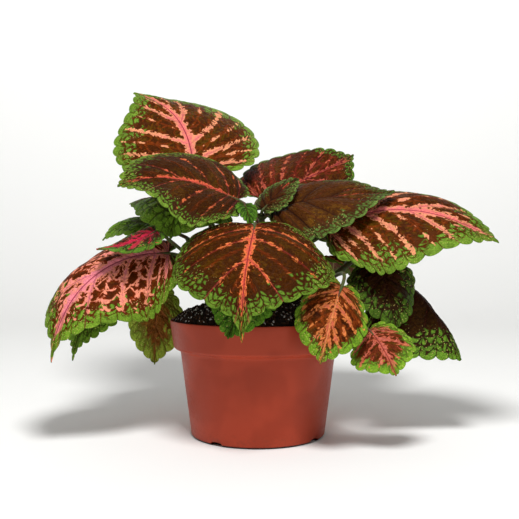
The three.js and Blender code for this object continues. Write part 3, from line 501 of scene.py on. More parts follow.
def upper_skin(name, look):
    skin = Skin(name, Roughness=0.5, Specular_IOR_Level=0.1, IOR=1.35)
    plan = skin.stored("plan")
    x, _, turn = split(plan)
    phase, run, gap = split(skin.stored("vein"))
    branch_gap, reach, _ = split(skin.stored("branch"))
    edge, rib, along = split(skin.stored("edge"))
    cell = skin.stored("cell")
    remaining, scallop, lobe_width = split(cell)
    remaining = remaining * NET_SPACING
    patches, blotch, grain = (noise(plan, 1 / size) for size in (PATCH_SIZE, BLOTCH_SIZE, GRAIN_SIZE))
    fine = net_place(cell, turn, FINE_GRAIN)
    fine_gap = cells(fine, "DISTANCE_TO_EDGE", "Distance") * (NET_SPACING / FINE_GRAIN[0])
    tooth, tone, _ = split(cells(fine, "F1", "Color"))
    wide = net_place(cell, turn + 20, look["grain"])
    wide_size = NET_SPACING / look["grain"][0]
    wide_gap = cells(wide, "DISTANCE_TO_EDGE", "Distance") * wide_size
    depth = split(cells(wide, "F1", "Position"))[0] * wide_size
    chance, wide_tone, _ = split(cells(wide, "F1", "Color"))

    # Bands along the midrib, the side veins and their branches, with toothed edges; positive inside, in mm
    whole = along.step(look["starts"] - 0.3, look["starts"]) * along.step(0.97, 0.86)
    swell = (along ** 0.75 * math.pi).maths("SINE").largest(0) ** 0.7
    limit = (patches * 1.5 + 0.25) * look["margin"] * (along.step(0.7, 1.0) * look["tip"] + 1)
    ragged = (chance - 0.5) * look["jag"] + (tooth - 0.5) * look["comb"]
    midrib_half = (swell * 0.8 + 0.2) * look["midrib"] * (blotch * 1.4 + 0.3)
    midrib_band = midrib_half * whole + ragged * 0.8 - rib
    drift = noise(join(run * 0.075, phase.maths("ROUND") * 3.7 + turn), 1.0, detail=1.0)
    inner = edge.step(look["margin"] * 0.1, look["margin"] * 0.6)
    broken = (drift * 4.0 - look["breaks"]).step(0, 1) * inner
    lateral_half = (run / reach * -0.7 + 1.15) * look["lateral"] * (blotch * 1.4 + 0.2)
    lateral_band = lateral_half * broken * whole + ragged * (broken * whole * 0.8) - gap - 0.05
    scatter = noise(join(run * 0.09, phase.maths("FLOOR") * 5.3 + turn), 1.0, detail=1.0)
    parted = (scatter * 5.0 - look["breaks"] - 1.4).step(0, 1) * inner * (run / reach).step(0.1, 0.3) * whole
    branch_band = lateral_half * parted * 0.6 + ragged * (parted * 0.7) - branch_gap - 0.05
    sides = lateral_band.largest(branch_band)
    coarse_gap = cells(net_place(cell, turn + 50, COARSE_GRAIN), "DISTANCE_TO_EDGE", "Distance")
    nearness = (midrib_band.largest(sides) / look["reach"] + 1).clamped()
    net_half = nearness * inner * look["net"] * (blotch * 2.4 - 0.2)
    net_band = net_half + ragged * (nearness * min(look["net"], 1) * 0.6)
    net_band = net_band - coarse_gap * (NET_SPACING / COARSE_GRAIN[0]) - nearness.step(0.3, 0.0) * 3
    ends = (edge - limit * look["stop"]) * 0.4 + ragged
    band = midrib_band.largest(sides.largest(net_band).smallest(ends))

    # Brown ground: every cell of its own tone, darker at its seams, and a red-brown glow beside the bands
    ground = mix(look["brown"], look["olive"], (patches + (tone - 0.5) * 0.25).step(0.44, 0.66))
    ground = mix(ground, look["halo"], band.step(-2.0, 0.0) * 0.8)
    ground = brightened(ground, (fine_gap.step(0.0, 0.4) * 0.3 + 0.7) * (tone * 0.4 + 0.8))
    ground = brightened(ground, gap.step(0.0, 5.0) * 0.3 + wide_gap.step(0.0, 1.5) * 0.12 + 0.7)

    # Green border: an outer row of lobes, then cells that shrink to dots where it ends
    notch_gap = scallop.comb(1.0) * lobe_width * 0.5
    uneven = noise(join(scallop * 0.7, turn), 1.0)
    lobe_reach = (uneven * 2.4 - 0.2) * look["lobe"] + (chance - 0.5) * (look["lobe"] * 0.5)
    lobe_reach = lobe_reach + (tooth - 0.5) * 2.4
    lobe_gap = (lobe_reach - remaining).smallest(notch_gap - (remaining / look["lobe"]) ** 2 * 0.5)
    shrink = (depth / limit).clamped() ** 1.4 * (wide_size * look["gaps"]) + 0.1
    inside = (limit - depth + (chance - 0.5) * look["margin"] * 0.9).step(-0.4, 0.4)
    cell_gap = wide_gap - shrink + (tooth - 0.5) * 0.9
    patch = inside * cell_gap.step(0.0, 0.3) * notch_gap.step(0.1, 0.4)
    patch = patch * (remaining - lobe_reach).step(0.0, 0.5)
    patch = patch.largest(lobe_gap.step(0.05, 0.4)) * gap.step(0.05, 0.4)
    # The green patches and lobes darken towards their rims: painted shade
    bright = lobe_gap.largest(cell_gap).step(0.0, 1.4) * (fine_gap.step(0.0, 0.5) * 0.4 + grain * 0.9 + 0.1)
    green = brightened(mix(look["rim_shade"], look["green"], bright), wide_tone * 0.35 + tone * 0.2 + 0.72)
    border = (limit - edge).step(-1.0, 3.0)
    colour = mix(mix(ground, look["seam"], border * 0.8), green, patch)

    # The bands themselves: rosy at heart, orange at their edges and far from the midrib
    vein = band.step(-0.1, 0.3)
    warmth = (band / look["lateral"]).clamped() * (rib / -50 + 1.1).clamped()
    glow = mix(look["flame"], look["heart"], warmth)
    glow = brightened(glow, (fine_gap.step(0.0, 0.35) * 0.16 + 0.84) * (tone * 0.24 + 0.88))
    colour = mix(colour, glow, vein * look["strength"])
    midline = (rib - swell * 0.2).step(0.5, 0.2) * along.step(1.0, 0.9)
    colour = mix(colour, look["line"], midline.largest(gap.step(0.9, 0.3) * look["inked"]) * 0.8)
    specks = cells(join(x * 0.3, rib * 0.3 + turn), "F1", "Distance", 1.0)
    speck = specks.step(0.14, 0.08) * patches.step(0.46, 0.56) * (vein * -1 + 1)
    colour = mix(colour, SPECK, speck * border * 0.7)
    colour = brightened(colour, grain * 0.6 + 0.7)

    quilt = wide_gap.step(0.0, 2.2) * 1.2 + fine_gap.step(0.0, 0.9) * 0.5
    return skin.painted(colour, quilt + noise(plan, 1.4, detail=3.0) * 0.4 + gap.step(0.0, 1.2) * 0.8, 0.42)


def under_skin(name, look):
    skin = Skin(name, Roughness=0.6, Specular_IOR_Level=0.1, IOR=1.35)
    plan = skin.stored("plan")
    _, _, turn = split(plan)
    _, _, gap = split(skin.stored("vein"))
    edge, rib, _ = split(skin.stored("edge"))
    patches = noise(plan, 1 / UNDER_PATCH_SIZE)
    grain = noise(plan, 1 / UNDER_GRAIN_SIZE, detail=3.0)
    net_gap = cells(net_place(skin.stored("cell"), turn), "DISTANCE_TO_EDGE", "Distance") * NET_SPACING
    colour = mix(UNDER_GROUND, UNDER_BORDER, edge.step(look["margin"] * 1.1, look["margin"] * 0.4))
    colour = mix(colour, UNDER_BLUSH, patches.step(0.48, 0.66) * 0.6)
    veins = net_gap.step(0.5, 0.1) * 0.35
    veins = veins.largest(gap.step(1.1, 0.4) * 0.8).largest(rib.step(2.0, 1.0) * 0.95)
    colour = mix(colour, UNDER_VEIN, veins)
    return skin.painted(brightened(colour, grain * 0.5 + 0.8), net_gap.step(0.8, 0.1) + grain * 0.6, 0.15)


def stalk_skin():
    skin = Skin("leaf_stalk", Roughness=0.5, Specular_IOR_Level=0.25, Sheen_Weight=0.04)
    place = skin.place()
    streaks = noise(place, 0.12, detail=3.0)
    grain = noise(place, 1.6, detail=3.0)
    colour = mix((74, 84, 36), (96, 52, 40), streaks.step(0.45, 0.62))
    colour = mix(colour, (134, 138, 84), grain.step(0.58, 0.75) * 0.5)
    return skin.painted(colour, grain + noise(place, 5.0), 0.12)


def shoot_skin():
    skin = Skin("shoot_rind", Roughness=0.55, Specular_IOR_Level=0.25, Sheen_Weight=0.06)
    place = skin.place()
    ring = noise(scaled(place, (0.4, 0.4, 1.8)), 0.5, detail=3.0)
    grain = noise(place, 1.3, detail=4.0)
    _, _, height = split(place)
    colour = mix((78, 62, 34), (62, 76, 32), height.step(108, 138))
    colour = mix(colour, (92, 48, 40), ring.step(0.5, 0.66) * 0.8)
    colour = mix(colour, (128, 122, 78), grain.step(0.6, 0.78) * 0.5)
    return skin.painted(colour, ring * 0.6 + grain * 0.5, 0.25)


def pot_plastic():
    """Dull plastic with a fine peel and faint rings, a little dust, and painted shadow where the pot stands."""
    skin = Skin("pot_plastic", Specular_IOR_Level=0.2)
    place = skin.place()
    clouds = noise(place, 0.03, detail=2.0)
    peel = noise(place, 1.1, detail=2.0)
    dust = noise(place, 0.35, detail=5.0, roughness=0.65)
    _, _, height = split(place)
    colour = mix((170, 62, 36), (158, 56, 31), clouds.step(0.4, 0.6))
    # Darker in patches towards the bottom
    low = height.step(16, 2) * 0.35
    colour = mix(colour, (104, 54, 38), low * dust.step(0.45, 0.7))
    colour = mix(colour, (186, 108, 80), dust.step(0.66, 0.8) * 0.22)
    # Painted shadow: the lowest 2 mm darken to nearly black where the pot stands on the floor
    colour = mix(colour, (30, 12, 8), height.step(1.9, 0.9))
    feed(skin.tree, skin.shader.inputs["Roughness"], dust.step(0.4, 0.75) * 0.16 + 0.38)
    rings = (height + clouds * 1.5).comb(1.4)
    return skin.painted(colour, peel * 0.7 + rings * 0.16 + dust * 0.3, 0.05)


def soil_peat():
    skin = Skin("soil_peat", Roughness=0.95, Specular_IOR_Level=0.15)
    place = skin.place()
    clods = noise(place, 0.22, detail=5.0, roughness=0.7)
    fibres = noise(scaled(place, (2.2, 0.5, 1.0)), 1.0, detail=4.0)
    colour = mix((30, 20, 14), (58, 40, 26), clods.step(0.4, 0.68))
    colour = mix(colour, (84, 60, 38), fibres.step(0.6, 0.74) * 0.6)
    return skin.painted(colour, clods + fibres * 0.4, 0.9)


def bark_crumb():
    skin = Skin("soil_crumb", Roughness=0.9, Specular_IOR_Level=0.2)
    place = skin.place()
    tone = noise(place, 0.3, detail=2.0)
    grain = noise(place, 2.2, detail=4.0)
    colour = mix((34, 22, 15), (78, 52, 32), tone.step(0.42, 0.64))
    return skin.painted(brightened(colour, grain * 0.9 + 0.5), grain, 0.3)


def perlite_bead():
    skin = Skin("perlite_bead", Roughness=0.8, Specular_IOR_Level=0.3)
    pits = noise(skin.place(), 2.4, detail=4.0)
    return skin.painted(mix((168, 164, 154), (236, 234, 228), pits.step(0.36, 0.55)), pits, 0.3)


def hair_down():
    skin = Skin("shoot_hair", Roughness=0.5, Specular_IOR_Level=0.4)
    tone = noise(skin.place(), 0.5)
    return skin.painted(mix((168, 164, 120), (208, 200, 164), tone.step(0.4, 0.6)))


def blend(values, s):
    """Three values given at the base, middle and tip of a leaf."""
    base, middle, tip = values
    return base * (1 - s) * (1 - 2 * s) + 4 * middle * s * (1 - s) + tip * s * (2 * s - 1)


def outline_at(tau):
    """The half outline: x as a share of the length, y as a share of half the width."""
    points = np.array(OUTLINE, float)
    points = np.vstack([2 * points[0] - points[1], points, 2 * points[-1] - points[-2]])
    last = len(OUTLINE) - 1
    place = np.clip(tau, 0, 1) * last
    i = np.minimum(np.floor(place).astype(int), last - 1)
    w = (place - i)[..., None]
    a, b, c, d = (points[i + k] for k in range(4))
    curve = 2 * b + (c - a) * w + (2 * a - 5 * b + 4 * c - d) * w**2 + (3 * b - a - 3 * c + d) * w**3
    return 0.5 * curve[..., 0], 0.5 * curve[..., 1]


def turns_of(sides):
    return 2 * np.pi * np.arange(sides) / sides


def circle(radius, height, sides):
    turns = turns_of(sides)
    return np.stack([radius * np.cos(turns), radius * np.sin(turns), np.full(sides, height)], axis=1)


def ring_faces(count, sides):
    """Faces between rings of points, ring by ring."""
    faces = []
    for i in range(count - 1):
        for k in range(sides):
            a, b = i * sides + k, i * sides + (k + 1) % sides
            faces.append([a, b, b + sides, a + sides])
    return faces


def turned_faces(count, sides):
    """Faces of a turned body, whose first and last rings are each one point on its axis."""
    last = (count - 1) * sides
    return [[0 if c < sides else last if c >= last else c for c in face] for face in ring_faces(count, sides)]


def tube(points, radii, sides, squareness=0.0):
    """Vertices and faces of a closed tube along points, in the order of rings from its start."""
    points = np.asarray(points, float)
    across = np.array([0, 1, 0.01])
    turns = turns_of(sides)
    rings = []
    for i, point in enumerate(points):
        along = points[min(i + 1, len(points) - 1)] - points[max(i - 1, 0)]
        along /= np.linalg.norm(along)
        u = across - along * (across @ along)
        u /= np.linalg.norm(u)
        v = np.cross(along, u)
        across = u
        radius = radii[i] * (1 + squareness * np.cos(4 * turns))
        rings.append(point + np.outer(radius * np.cos(turns), u) + np.outer(radius * np.sin(turns), v))
    last = (len(points) - 1) * sides
    caps = [list(range(sides - 1, -1, -1)), list(range(last, last + sides))]
    return np.vstack(rings), ring_faces(len(points), sides) + caps


def shoot_points(shoot, count):
    """Points along the middle of a shoot, on a centripetal Catmull-Rom curve, even in its own steps."""
    knots = [np.array(p, float) for p in SHOOTS[shoot][1]]
    under = (knots[0] - knots[1]) / np.linalg.norm(knots[0] - knots[1])
    under[2] = min(under[2], SHOOT_FOOT_SLOPE)
    knots.insert(0, knots[0] + SHOOT_DEPTH * under / np.linalg.norm(under))
    knots = [2 * knots[0] - knots[1], *knots, 2 * knots[-1] - knots[-2]]
    points = []
    for t in np.linspace(0, len(knots) - 3, count):
        i = min(int(t), len(knots) - 4)
        w = t - i
        a, b, c, d = knots[i : i + 4]
        before, here, after = (np.linalg.norm(q - p) ** 0.5 for p, q in ((a, b), (b, c), (c, d)))
        start = ((b - a) / before - (c - a) / (before + here) + (c - b) / here) * here
        end = ((c - b) / here - (d - b) / (here + after) + (d - c) / after) * here
        square, cube = -3 * b + 3 * c - 2 * start - end, 2 * b - 2 * c + start + end
        points.append(b + start * w + square * w**2 + cube * w**3)
    return np.array(points)


def shoot_share(shoot, share):
    """The point that far up the part of a shoot that is out of the soil."""
    points = shoot_points(shoot, 400)
    lengths = np.concatenate([[0], np.cumsum(np.linalg.norm(np.diff(points, axis=0), axis=1))])
    depth = SHOOT_DEPTH / lengths[-1]
    target = (depth + (1 - depth) * share) * lengths[-1]
    return np.array([np.interp(target, lengths, points[:, k]) for k in range(3)])


def hump(distance, half_width):
    return np.exp(-((distance / half_width) ** 2))


class Leaf:
    """One leaf: its stalk and its blade, bent along its midrib as in the part's source."""

    def __init__(self, order, values):
        self.__dict__.update(zip(LEAF_COLUMNS, values))
        small = self.length < SMALL_LEAF
        self.scallops = (SMALL_SCALLOPS_PER_VEIN if small else SCALLOPS_PER_VEIN) * SIDE_VEINS
        self.depth = min(SMALL_SCALLOP_DEPTH if small else SCALLOP_DEPTH, self.width * SCALLOP_DEEPEST_SHARE)
        self.order = order
        self.phase = 2.4 * order
        relief = min(1, self.width / FULL_RELIEF_WIDTH)
        self.pucker = PUCKER_HEIGHT * relief
        self.wave = EDGE_WAVE * relief
        self.make_spine()

    def make_spine(self):
        s = np.linspace(0, 1, SPINE_STEPS + 1)
        heading, pitch, roll = (np.radians(blend(v, s)) for v in (self.heading, self.pitch, self.roll))
        ahead = np.stack([np.cos(heading), np.sin(heading), np.zeros_like(s)], axis=1)
        along = ahead * np.cos(pitch)[:, None] + np.outer(np.sin(pitch), [0, 0, 1])
        level = np.stack([-np.sin(heading), np.cos(heading), np.zeros_like(s)], axis=1)
        side = level * np.cos(roll)[:, None] + np.cross(along, level) * np.sin(roll)[:, None]
        steps = (along[1:] + along[:-1]) / 2 * self.length / SPINE_STEPS
        place = np.array(self.base, float) + np.vstack([np.zeros(3), np.cumsum(steps, axis=0)])
        self.spine = {"place": place, "along": along, "side": side, "normal": np.cross(along, side)}

    def frame_at(self, s):
        at = np.clip(s, 0, 1) * SPINE_STEPS
        i = np.minimum(np.floor(at).astype(int), SPINE_STEPS - 1)
        w = (at - i)[..., None]
        return {key: values[i] * (1 - w) + values[i + 1] * w for key, values in self.spine.items()}

    def rim(self, tau):
        x, y = outline_at(tau)
        u = np.clip(x, 0, 1)
        tail = self.tail * np.clip((u - 1) / TAIL_SHARE + 1, 0, 1) ** 2
        return x * self.length + tail, y * (1 + self.blunt * 4 * u * u * (1 - u)) * (self.width / 2)

    def flat(self, tau, q, scalloped=True):
        """A flat blade point in mm. tau: from base to tip along the edge. q: from the midrib to the edge."""
        x, y = self.rim(tau)
        if scalloped:
            (ahead_x, ahead_y), (behind_x, behind_y) = self.rim(tau + 1e-3), self.rim(tau - 1e-3)
            run_x, run_y = ahead_x - behind_x, ahead_y - behind_y
            size = np.hypot(run_x, run_y)
            fade = np.minimum(tau / SCALLOP_FADE[0], (1 - tau) / SCALLOP_FADE[1])
            scallop = self.scallops * np.clip(tau, 0, 1) ** VEIN_CROWDING
            depth = self.depth * (np.clip(fade, 0, 1) * q**SCALLOP_REACH)
            depth = depth * (1 + SCALLOP_VARIETY * np.sin(1.7 * scallop + self.phase))
            push = (np.abs(np.sin(np.pi * scallop)) ** 0.7 - 0.5) * depth
            x = x - run_y / size * push
            y = np.maximum(y + run_x / size * push, NARROWEST)
        start = np.clip((tau - BASAL_SHARE) / (1 - BASAL_SHARE), 0, 1) ** VEIN_SWEEP * self.length
        return start + (x - start) * (0.7 * q + 0.3 * q * q), y * q

    def relief(self, tau, q, hand):
        """How far the blade rises between its side veins and waves at its edge."""
        between = np.sin(np.pi * SIDE_VEINS * tau**VEIN_CROWDING) ** 2
        wave = np.sin(2 * np.pi * EDGE_WAVES * tau + self.phase + hand) * q * q
        wave = wave * np.clip((1 - tau) / EDGE_WAVE_FADE, 0, 1)
        return self.pucker * between * np.sin(np.pi * q) + self.wave * wave

    def bend(self, x, y, lift, hand):
        """Puts a flat blade point in space; hand is 1 on the left half and -1 on the right."""
        s = np.clip(x / self.length, 0, 1)
        at = self.frame_at(s)
        fold, curl = (np.where(hand > 0, *np.radians(pair)) for pair in zip(self.left, self.right))
        half = self.width / 2
        angle = fold - curl * y / half
        across = half / curl * (np.sin(fold) - np.sin(angle)) - lift * np.sin(angle)
        rise = half / curl * (np.cos(angle) - np.cos(fold)) + lift * np.cos(angle)
        point = at["place"] + at["along"] * (x - s * self.length)[..., None]
        return point + at["side"] * (hand * across)[..., None] + at["normal"] * rise[..., None]

    def vein_gap(self, tau, q, between=0.0):
        """The distance, in mm, to the nearest side vein, or to the nearest branch between two of them."""
        tau = np.clip(tau, 1e-4, 1)
        phase = SIDE_VEINS * tau**VEIN_CROWDING
        nearest = np.clip(np.round(phase - between), 1, math.floor(SIDE_VEINS)) + between
        vein = (nearest / SIDE_VEINS) ** (1 / VEIN_CROWDING)
        step = 2e-3
        ahead, behind = self.flat(tau + step, q, False), self.flat(tau - step, q, False)
        outer, inner = self.flat(tau, q + step, False), self.flat(tau, q - step, False)
        run_x, run_y = ((a - b) / (2 * step) for a, b in zip(ahead, behind))
        out_x, out_y = (a - b for a, b in zip(outer, inner))
        spread = np.abs(run_x * out_y - run_y * out_x) / np.maximum(np.hypot(out_x, out_y), 1e-9)
        return spread * np.abs(tau - vein)

    def sheet(self, taus, places, top):
        """Points of the blade's upper or lower face on a grid of taus by places, right edge to left edge."""
        q = np.array([-p for p in reversed(places[1:])] + list(places))
        hand = np.where(q >= 0, 1.0, -1.0)[None, :] * np.ones((len(taus), 1))
        tau = taus[:, None] * np.ones((1, len(q)))
        q = np.abs(q)[None, :] * np.ones((len(taus), 1))
        x, y = self.flat(tau, q)
        x[0], y[0], x[-1], y[-1] = 0, 0, self.length + self.tail, 0
        lift = self.relief(tau, q, hand)
        gap, branch_gap = self.vein_gap(tau, q), self.vein_gap(tau, q, 0.5)
        for values, end in ((lift, 0), (gap, 9), (branch_gap, 9)):
            values[0] = values[-1] = end
        along = x / self.length
        edge_x, edge_y = self.flat(tau, np.ones_like(q))
        start_x, _ = self.flat(tau, np.zeros_like(q))
        remaining = np.hypot(edge_x - x, edge_y - y)
        run = np.hypot(x - start_x, y)
        steps = np.gradient(edge_x, axis=0), np.gradient(edge_y, axis=0)
        size = np.maximum(np.hypot(*steps), 1e-9)
        slant = np.abs((edge_x - start_x) * steps[1] - edge_y * steps[0])
        slant = slant / (np.maximum(run + remaining, 1e-9) * size)
        tip = np.clip((1 - along) / TIP_SHARE, 0, 1)
        midrib = hump(y, MIDRIB_HALF_WIDTH)
        if top:
            groove = 0.6 * VEIN_GROOVE * hump(gap, VEIN_HALF_WIDTH) + VEIN_GROOVE * midrib
            lift = lift + BLADE_THICKNESS / 2 - groove * np.clip(y / 2 + 0.4, 0, 1) * tip
        else:
            keel = MIDRIB_DEPTH * (1 - 0.7 * along) * midrib
            rib = VEIN_DEPTH * hump(gap, RIB_HALF_WIDTH) * np.clip(remaining / RIB_FADE, 0, 1)
            lift = lift - BLADE_THICKNESS / 2 - np.maximum(keel, rib * tip)
        scallop = self.scallops * tau**VEIN_CROWDING + 30 * (hand + 1)
        fields = {
            "plan": (x, hand * y, 61.0 * self.order + 0 * x),
            "vein": (SIDE_VEINS * tau**VEIN_CROWDING, run, gap),
            "branch": (branch_gap, np.maximum(run + remaining, 1), 0 * x),
            "edge": (remaining * np.clip(slant, 0.3, 1), y, np.clip(along, 0, 1)),
            "cell": (remaining / NET_SPACING, scallop, size * ROWS_PER_SCALLOP),
            "up": np.moveaxis(self.frame_at(along)["normal"], -1, 0),
        }
        fields = {name: np.stack(values, axis=-1) for name, values in fields.items()}
        return self.bend(x, y, lift, hand), fields

    def stalk(self):
        """Vertices and faces of the stalk, from inside its shoot to a little way under the midrib."""
        start = shoot_share(self.shoot, self.share)
        base = np.array(self.base, float)
        control = base - self.spine["along"][0] * self.bow
        bend = start + (control - start) * 0.6
        t = np.linspace(0, 1, STALK_STEPS + 1)[:, None]
        points = (1 - t) ** 3 * start + 3 * (1 - t) ** 2 * t * bend
        points = points + 3 * (1 - t) * t**2 * control + t**3 * base
        radii = list(STALK_RADIUS[0] + (STALK_RADIUS[1] - STALK_RADIUS[0]) * t[:, 0])
        run_out = min(STALK_RUN_OUT, self.length * STALK_RUN_OUT_SHARE)
        for share in (0.25, 0.5, 0.75, 1):
            keel = np.array(-BLADE_THICKNESS * (0.2 + 0.8 * share))
            point = self.bend(np.array(run_out * share), np.array(0.0), keel, np.array(1.0))
            points = np.vstack([points, point])
            radii.append(STALK_RADIUS[1] + (STALK_RUN_OUT_RADIUS - STALK_RADIUS[1]) * share)
        slim = min(1, 0.5 + self.length / 160)
        return tube(points, np.array(radii) * slim, STALK_SIDES)

    def mesh(self):
        """The blade and the stalk as one mesh, with the fields that its materials and its puffing read."""
        lines = np.arange(0, self.scallops, 1 / ROWS_PER_SCALLOP) / self.scallops
        taus = np.append(lines ** (1 / VEIN_CROWDING), 1.0)
        vertices, faces, slots, borders = [], [], [], []
        fields = {}
        for top, places in ((True, TOP_PLACES), (False, UNDER_PLACES)):
            points, values = self.sheet(taus, places, top)
            rows, columns = points.shape[:2]
            ids = np.arange(rows * columns).reshape(rows, columns) + sum(len(v) for v in vertices)
            ids[0, :] = ids[0, 0]
            ids[-1, :] = ids[-1, 0]
            vertices.append(points.reshape(-1, 3))
            for name, value in values.items():
                fields.setdefault(name, []).append(value.reshape(-1, 3))
            a, b, c, d = ids[:-1, :-1], ids[1:, :-1], ids[1:, 1:], ids[:-1, 1:]
            quads = np.stack([a, b, c, d] if top else [a, d, c, b], axis=-1).reshape(-1, 4)
            faces += quads.tolist()
            slots += [0 if top else 1] * len(quads)
            borders.append((ids[:, 0], ids[:, -1]))
        for side in (0, 1):
            upper, lower = borders[0][side], borders[1][side]
            for k in range(len(taus) - 1):
                quad = [upper[k], upper[k + 1], lower[k + 1], lower[k]]
                faces.append(quad if side == 1 else quad[::-1])
                slots.append(0)
        points, tube_faces = self.stalk()
        first = sum(len(v) for v in vertices)
        vertices.append(points)
        faces += [[first + k for k in face] for face in tube_faces]
        slots += [2] * len(tube_faces)
        bare = np.zeros((len(points), 3))
        fields = {name: np.vstack([*values, bare]) for name, values in fields.items()}
        return plain_mesh(self.name + "_fine", np.vstack(vertices), faces, slots, fields)


def plain_mesh(name, vertices, faces, slots=None, fields=None, sharp=SHARP_ANGLE):
    """A smooth mesh from points in millimetres, with its edges sharp above that angle. Corners that a face
    repeats and points that no face has are dropped."""
    trimmed, kept_slots = [], []
    for k, face in enumerate(faces):
        corners = [corner for i, corner in enumerate(face) if corner != face[i - 1]]
        if len(corners) > 2:
            trimmed.append(corners)
            kept_slots.append(slots[k] if slots else 0)
    used = np.unique(np.concatenate([np.array(face) for face in trimmed]))
    number = np.full(len(vertices), -1)
    number[used] = np.arange(len(used))
    mesh = bpy.data.meshes.new(name)
    mesh.from_pydata((vertices[used] * MM).tolist(), [], [number[face].tolist() for face in trimmed])
    mesh.polygons.foreach_set("material_index", kept_slots)
    mesh.polygons.foreach_set("use_smooth", [True] * len(trimmed))
    for label, values in (fields or {}).items():
        layer = mesh.attributes.new(label, "FLOAT_VECTOR", "POINT")
        layer.data.foreach_set("vector", values[used].astype(np.float32).ravel())
    mesh.set_sharp_from_angle(angle=math.radians(sharp))
    mesh.update()
    return mesh


def new_object(name, mesh, *materials):
    for material in materials:
        mesh.materials.append(material)
    return linked(bpy.data.objects.new(name, mesh))


def linked(item):
    bpy.context.collection.objects.link(item)
    return item


def new_tree(name, *sizes):
    """A Geometry Nodes tree with a named input for each size, and the values of its inputs by name."""
    tree = bpy.data.node_groups.new(name, "GeometryNodeTree")
    tree.interface.new_socket("Geometry", in_out="INPUT", socket_type="NodeSocketGeometry")
    for label in sizes:
        tree.interface.new_socket(label, in_out="INPUT", socket_type="NodeSocketFloat")
    tree.interface.new_socket("Geometry", in_out="OUTPUT", socket_type="NodeSocketGeometry")
    entry = tree.nodes.new("NodeGroupInput")
    return tree, {label: Field(tree, entry.outputs[label]) for label in ("Geometry", *sizes)}


def close_tree(tree, geometry, material, selection=True):
    """Ends a tree in Realize Instances and Set Material."""
    real = field(tree, "GeometryNodeRealizeInstances", {"Geometry": geometry})
    inputs = {"Geometry": real, "Selection": selection, "Material": material}
    put(tree, "NodeGroupOutput", {0: field(tree, "GeometryNodeSetMaterial", inputs)})
    return tree


def grown_mesh(host, tree, sizes):
    """What a tree makes of the host object, as a plain mesh; the host is left without the modifier."""
    modifier = host.modifiers.new(tree.name, "NODES")
    modifier.node_group = tree
    for socket in tree.interface.items_tree:
        if socket.in_out == "INPUT" and socket.name in sizes:
            modifier[socket.identifier] = float(sizes[socket.name])
    return applied(host, modifier)


def applied(host, modifier):
    """The mesh that the host shows with its modifier, which is then removed."""
    graph = bpy.context.evaluated_depsgraph_get()
    shown = host.evaluated_get(graph)
    mesh = bpy.data.meshes.new_from_object(shown, preserve_all_data_layers=True, depsgraph=graph)
    host.modifiers.remove(modifier)
    return mesh


def puff_tree(material):
    """Raises both faces of a blade between its small veins, which are those that the materials draw."""
    tree, given = new_tree("leaf_puffing", "Puff height", "Flat border")

    def stored(name):
        kind = "GeometryNodeInputNamedAttribute"
        return field(tree, kind, {"Name": name}, "Attribute", data_type="FLOAT_VECTOR")

    _, _, turn = split(stored("plan"))
    _, _, gap = split(stored("vein"))
    edge, rib, _ = split(stored("edge"))
    net_gap = cells(net_place(stored("cell"), turn), "DISTANCE_TO_EDGE", "Distance") * NET_SPACING
    rise = net_gap.step(0.0, 2.0) * gap.step(0.0, 2.2) * rib.step(0.4, 3.0)
    rise = rise * edge.step(0.0, given["Flat border"])
    offset = brightened(stored("up"), rise * given["Puff height"])
    moved = field(tree, "GeometryNodeSetPosition", {"Geometry": given["Geometry"], "Offset": offset})
    slot = field(tree, "GeometryNodeInputMaterialIndex")
    upper = field(tree, "FunctionNodeCompare", {2: slot, 3: 0}, data_type="INT", operation="EQUAL")
    return close_tree(tree, moved, material, upper)


def scatter_tree(name, material, seed, vertex_count=None):
    """Strews bits over a surface: rough beads, or short hairs where their foot has a vertex count."""
    tree, given = new_tree(name, "Bits per square metre", "Smallest", "Largest", "Length")
    inputs = {"Mesh": given["Geometry"], "Density": given["Bits per square metre"], "Seed": seed}
    dots = put(tree, "GeometryNodeDistributePointsOnFaces", inputs)
    if vertex_count:
        inputs = {"Vertices": vertex_count, "Radius Top": 0.0, "Radius Bottom": HAIR_FOOT * MM,
                  "Depth": given["Length"]}
        bit = field(tree, "GeometryNodeMeshCone", inputs, "Mesh", fill_type="NGON")
        lowest, highest = -HAIR_LEAN, HAIR_LEAN
    else:
        bit = field(tree, "GeometryNodeMeshIcoSphere", {"Radius": 1.0, "Subdivisions": 1}, "Mesh")
        lowest, highest = 0.0, BIT_TURN

    def chosen(low, high, shift):
        inputs = {0: low, 1: high, "Seed": seed + shift}
        return field(tree, "FunctionNodeRandomValue", inputs, data_type="FLOAT_VECTOR")

    tilt = chosen((lowest, lowest, lowest), (highest, highest, highest), 1)
    size = chosen(*(join(side, side, side) for side in (given["Smallest"], given["Largest"])), 2)
    placed = field(tree, "GeometryNodeInstanceOnPoints", {
        "Points": Field(tree, dots.outputs["Points"]), "Instance": bit,
        "Rotation": Field(tree, dots.outputs["Rotation"]), "Scale": size})
    turned = field(tree, "GeometryNodeRotateInstances", {"Instances": placed, "Rotation": tilt})
    return close_tree(tree, turned, material)


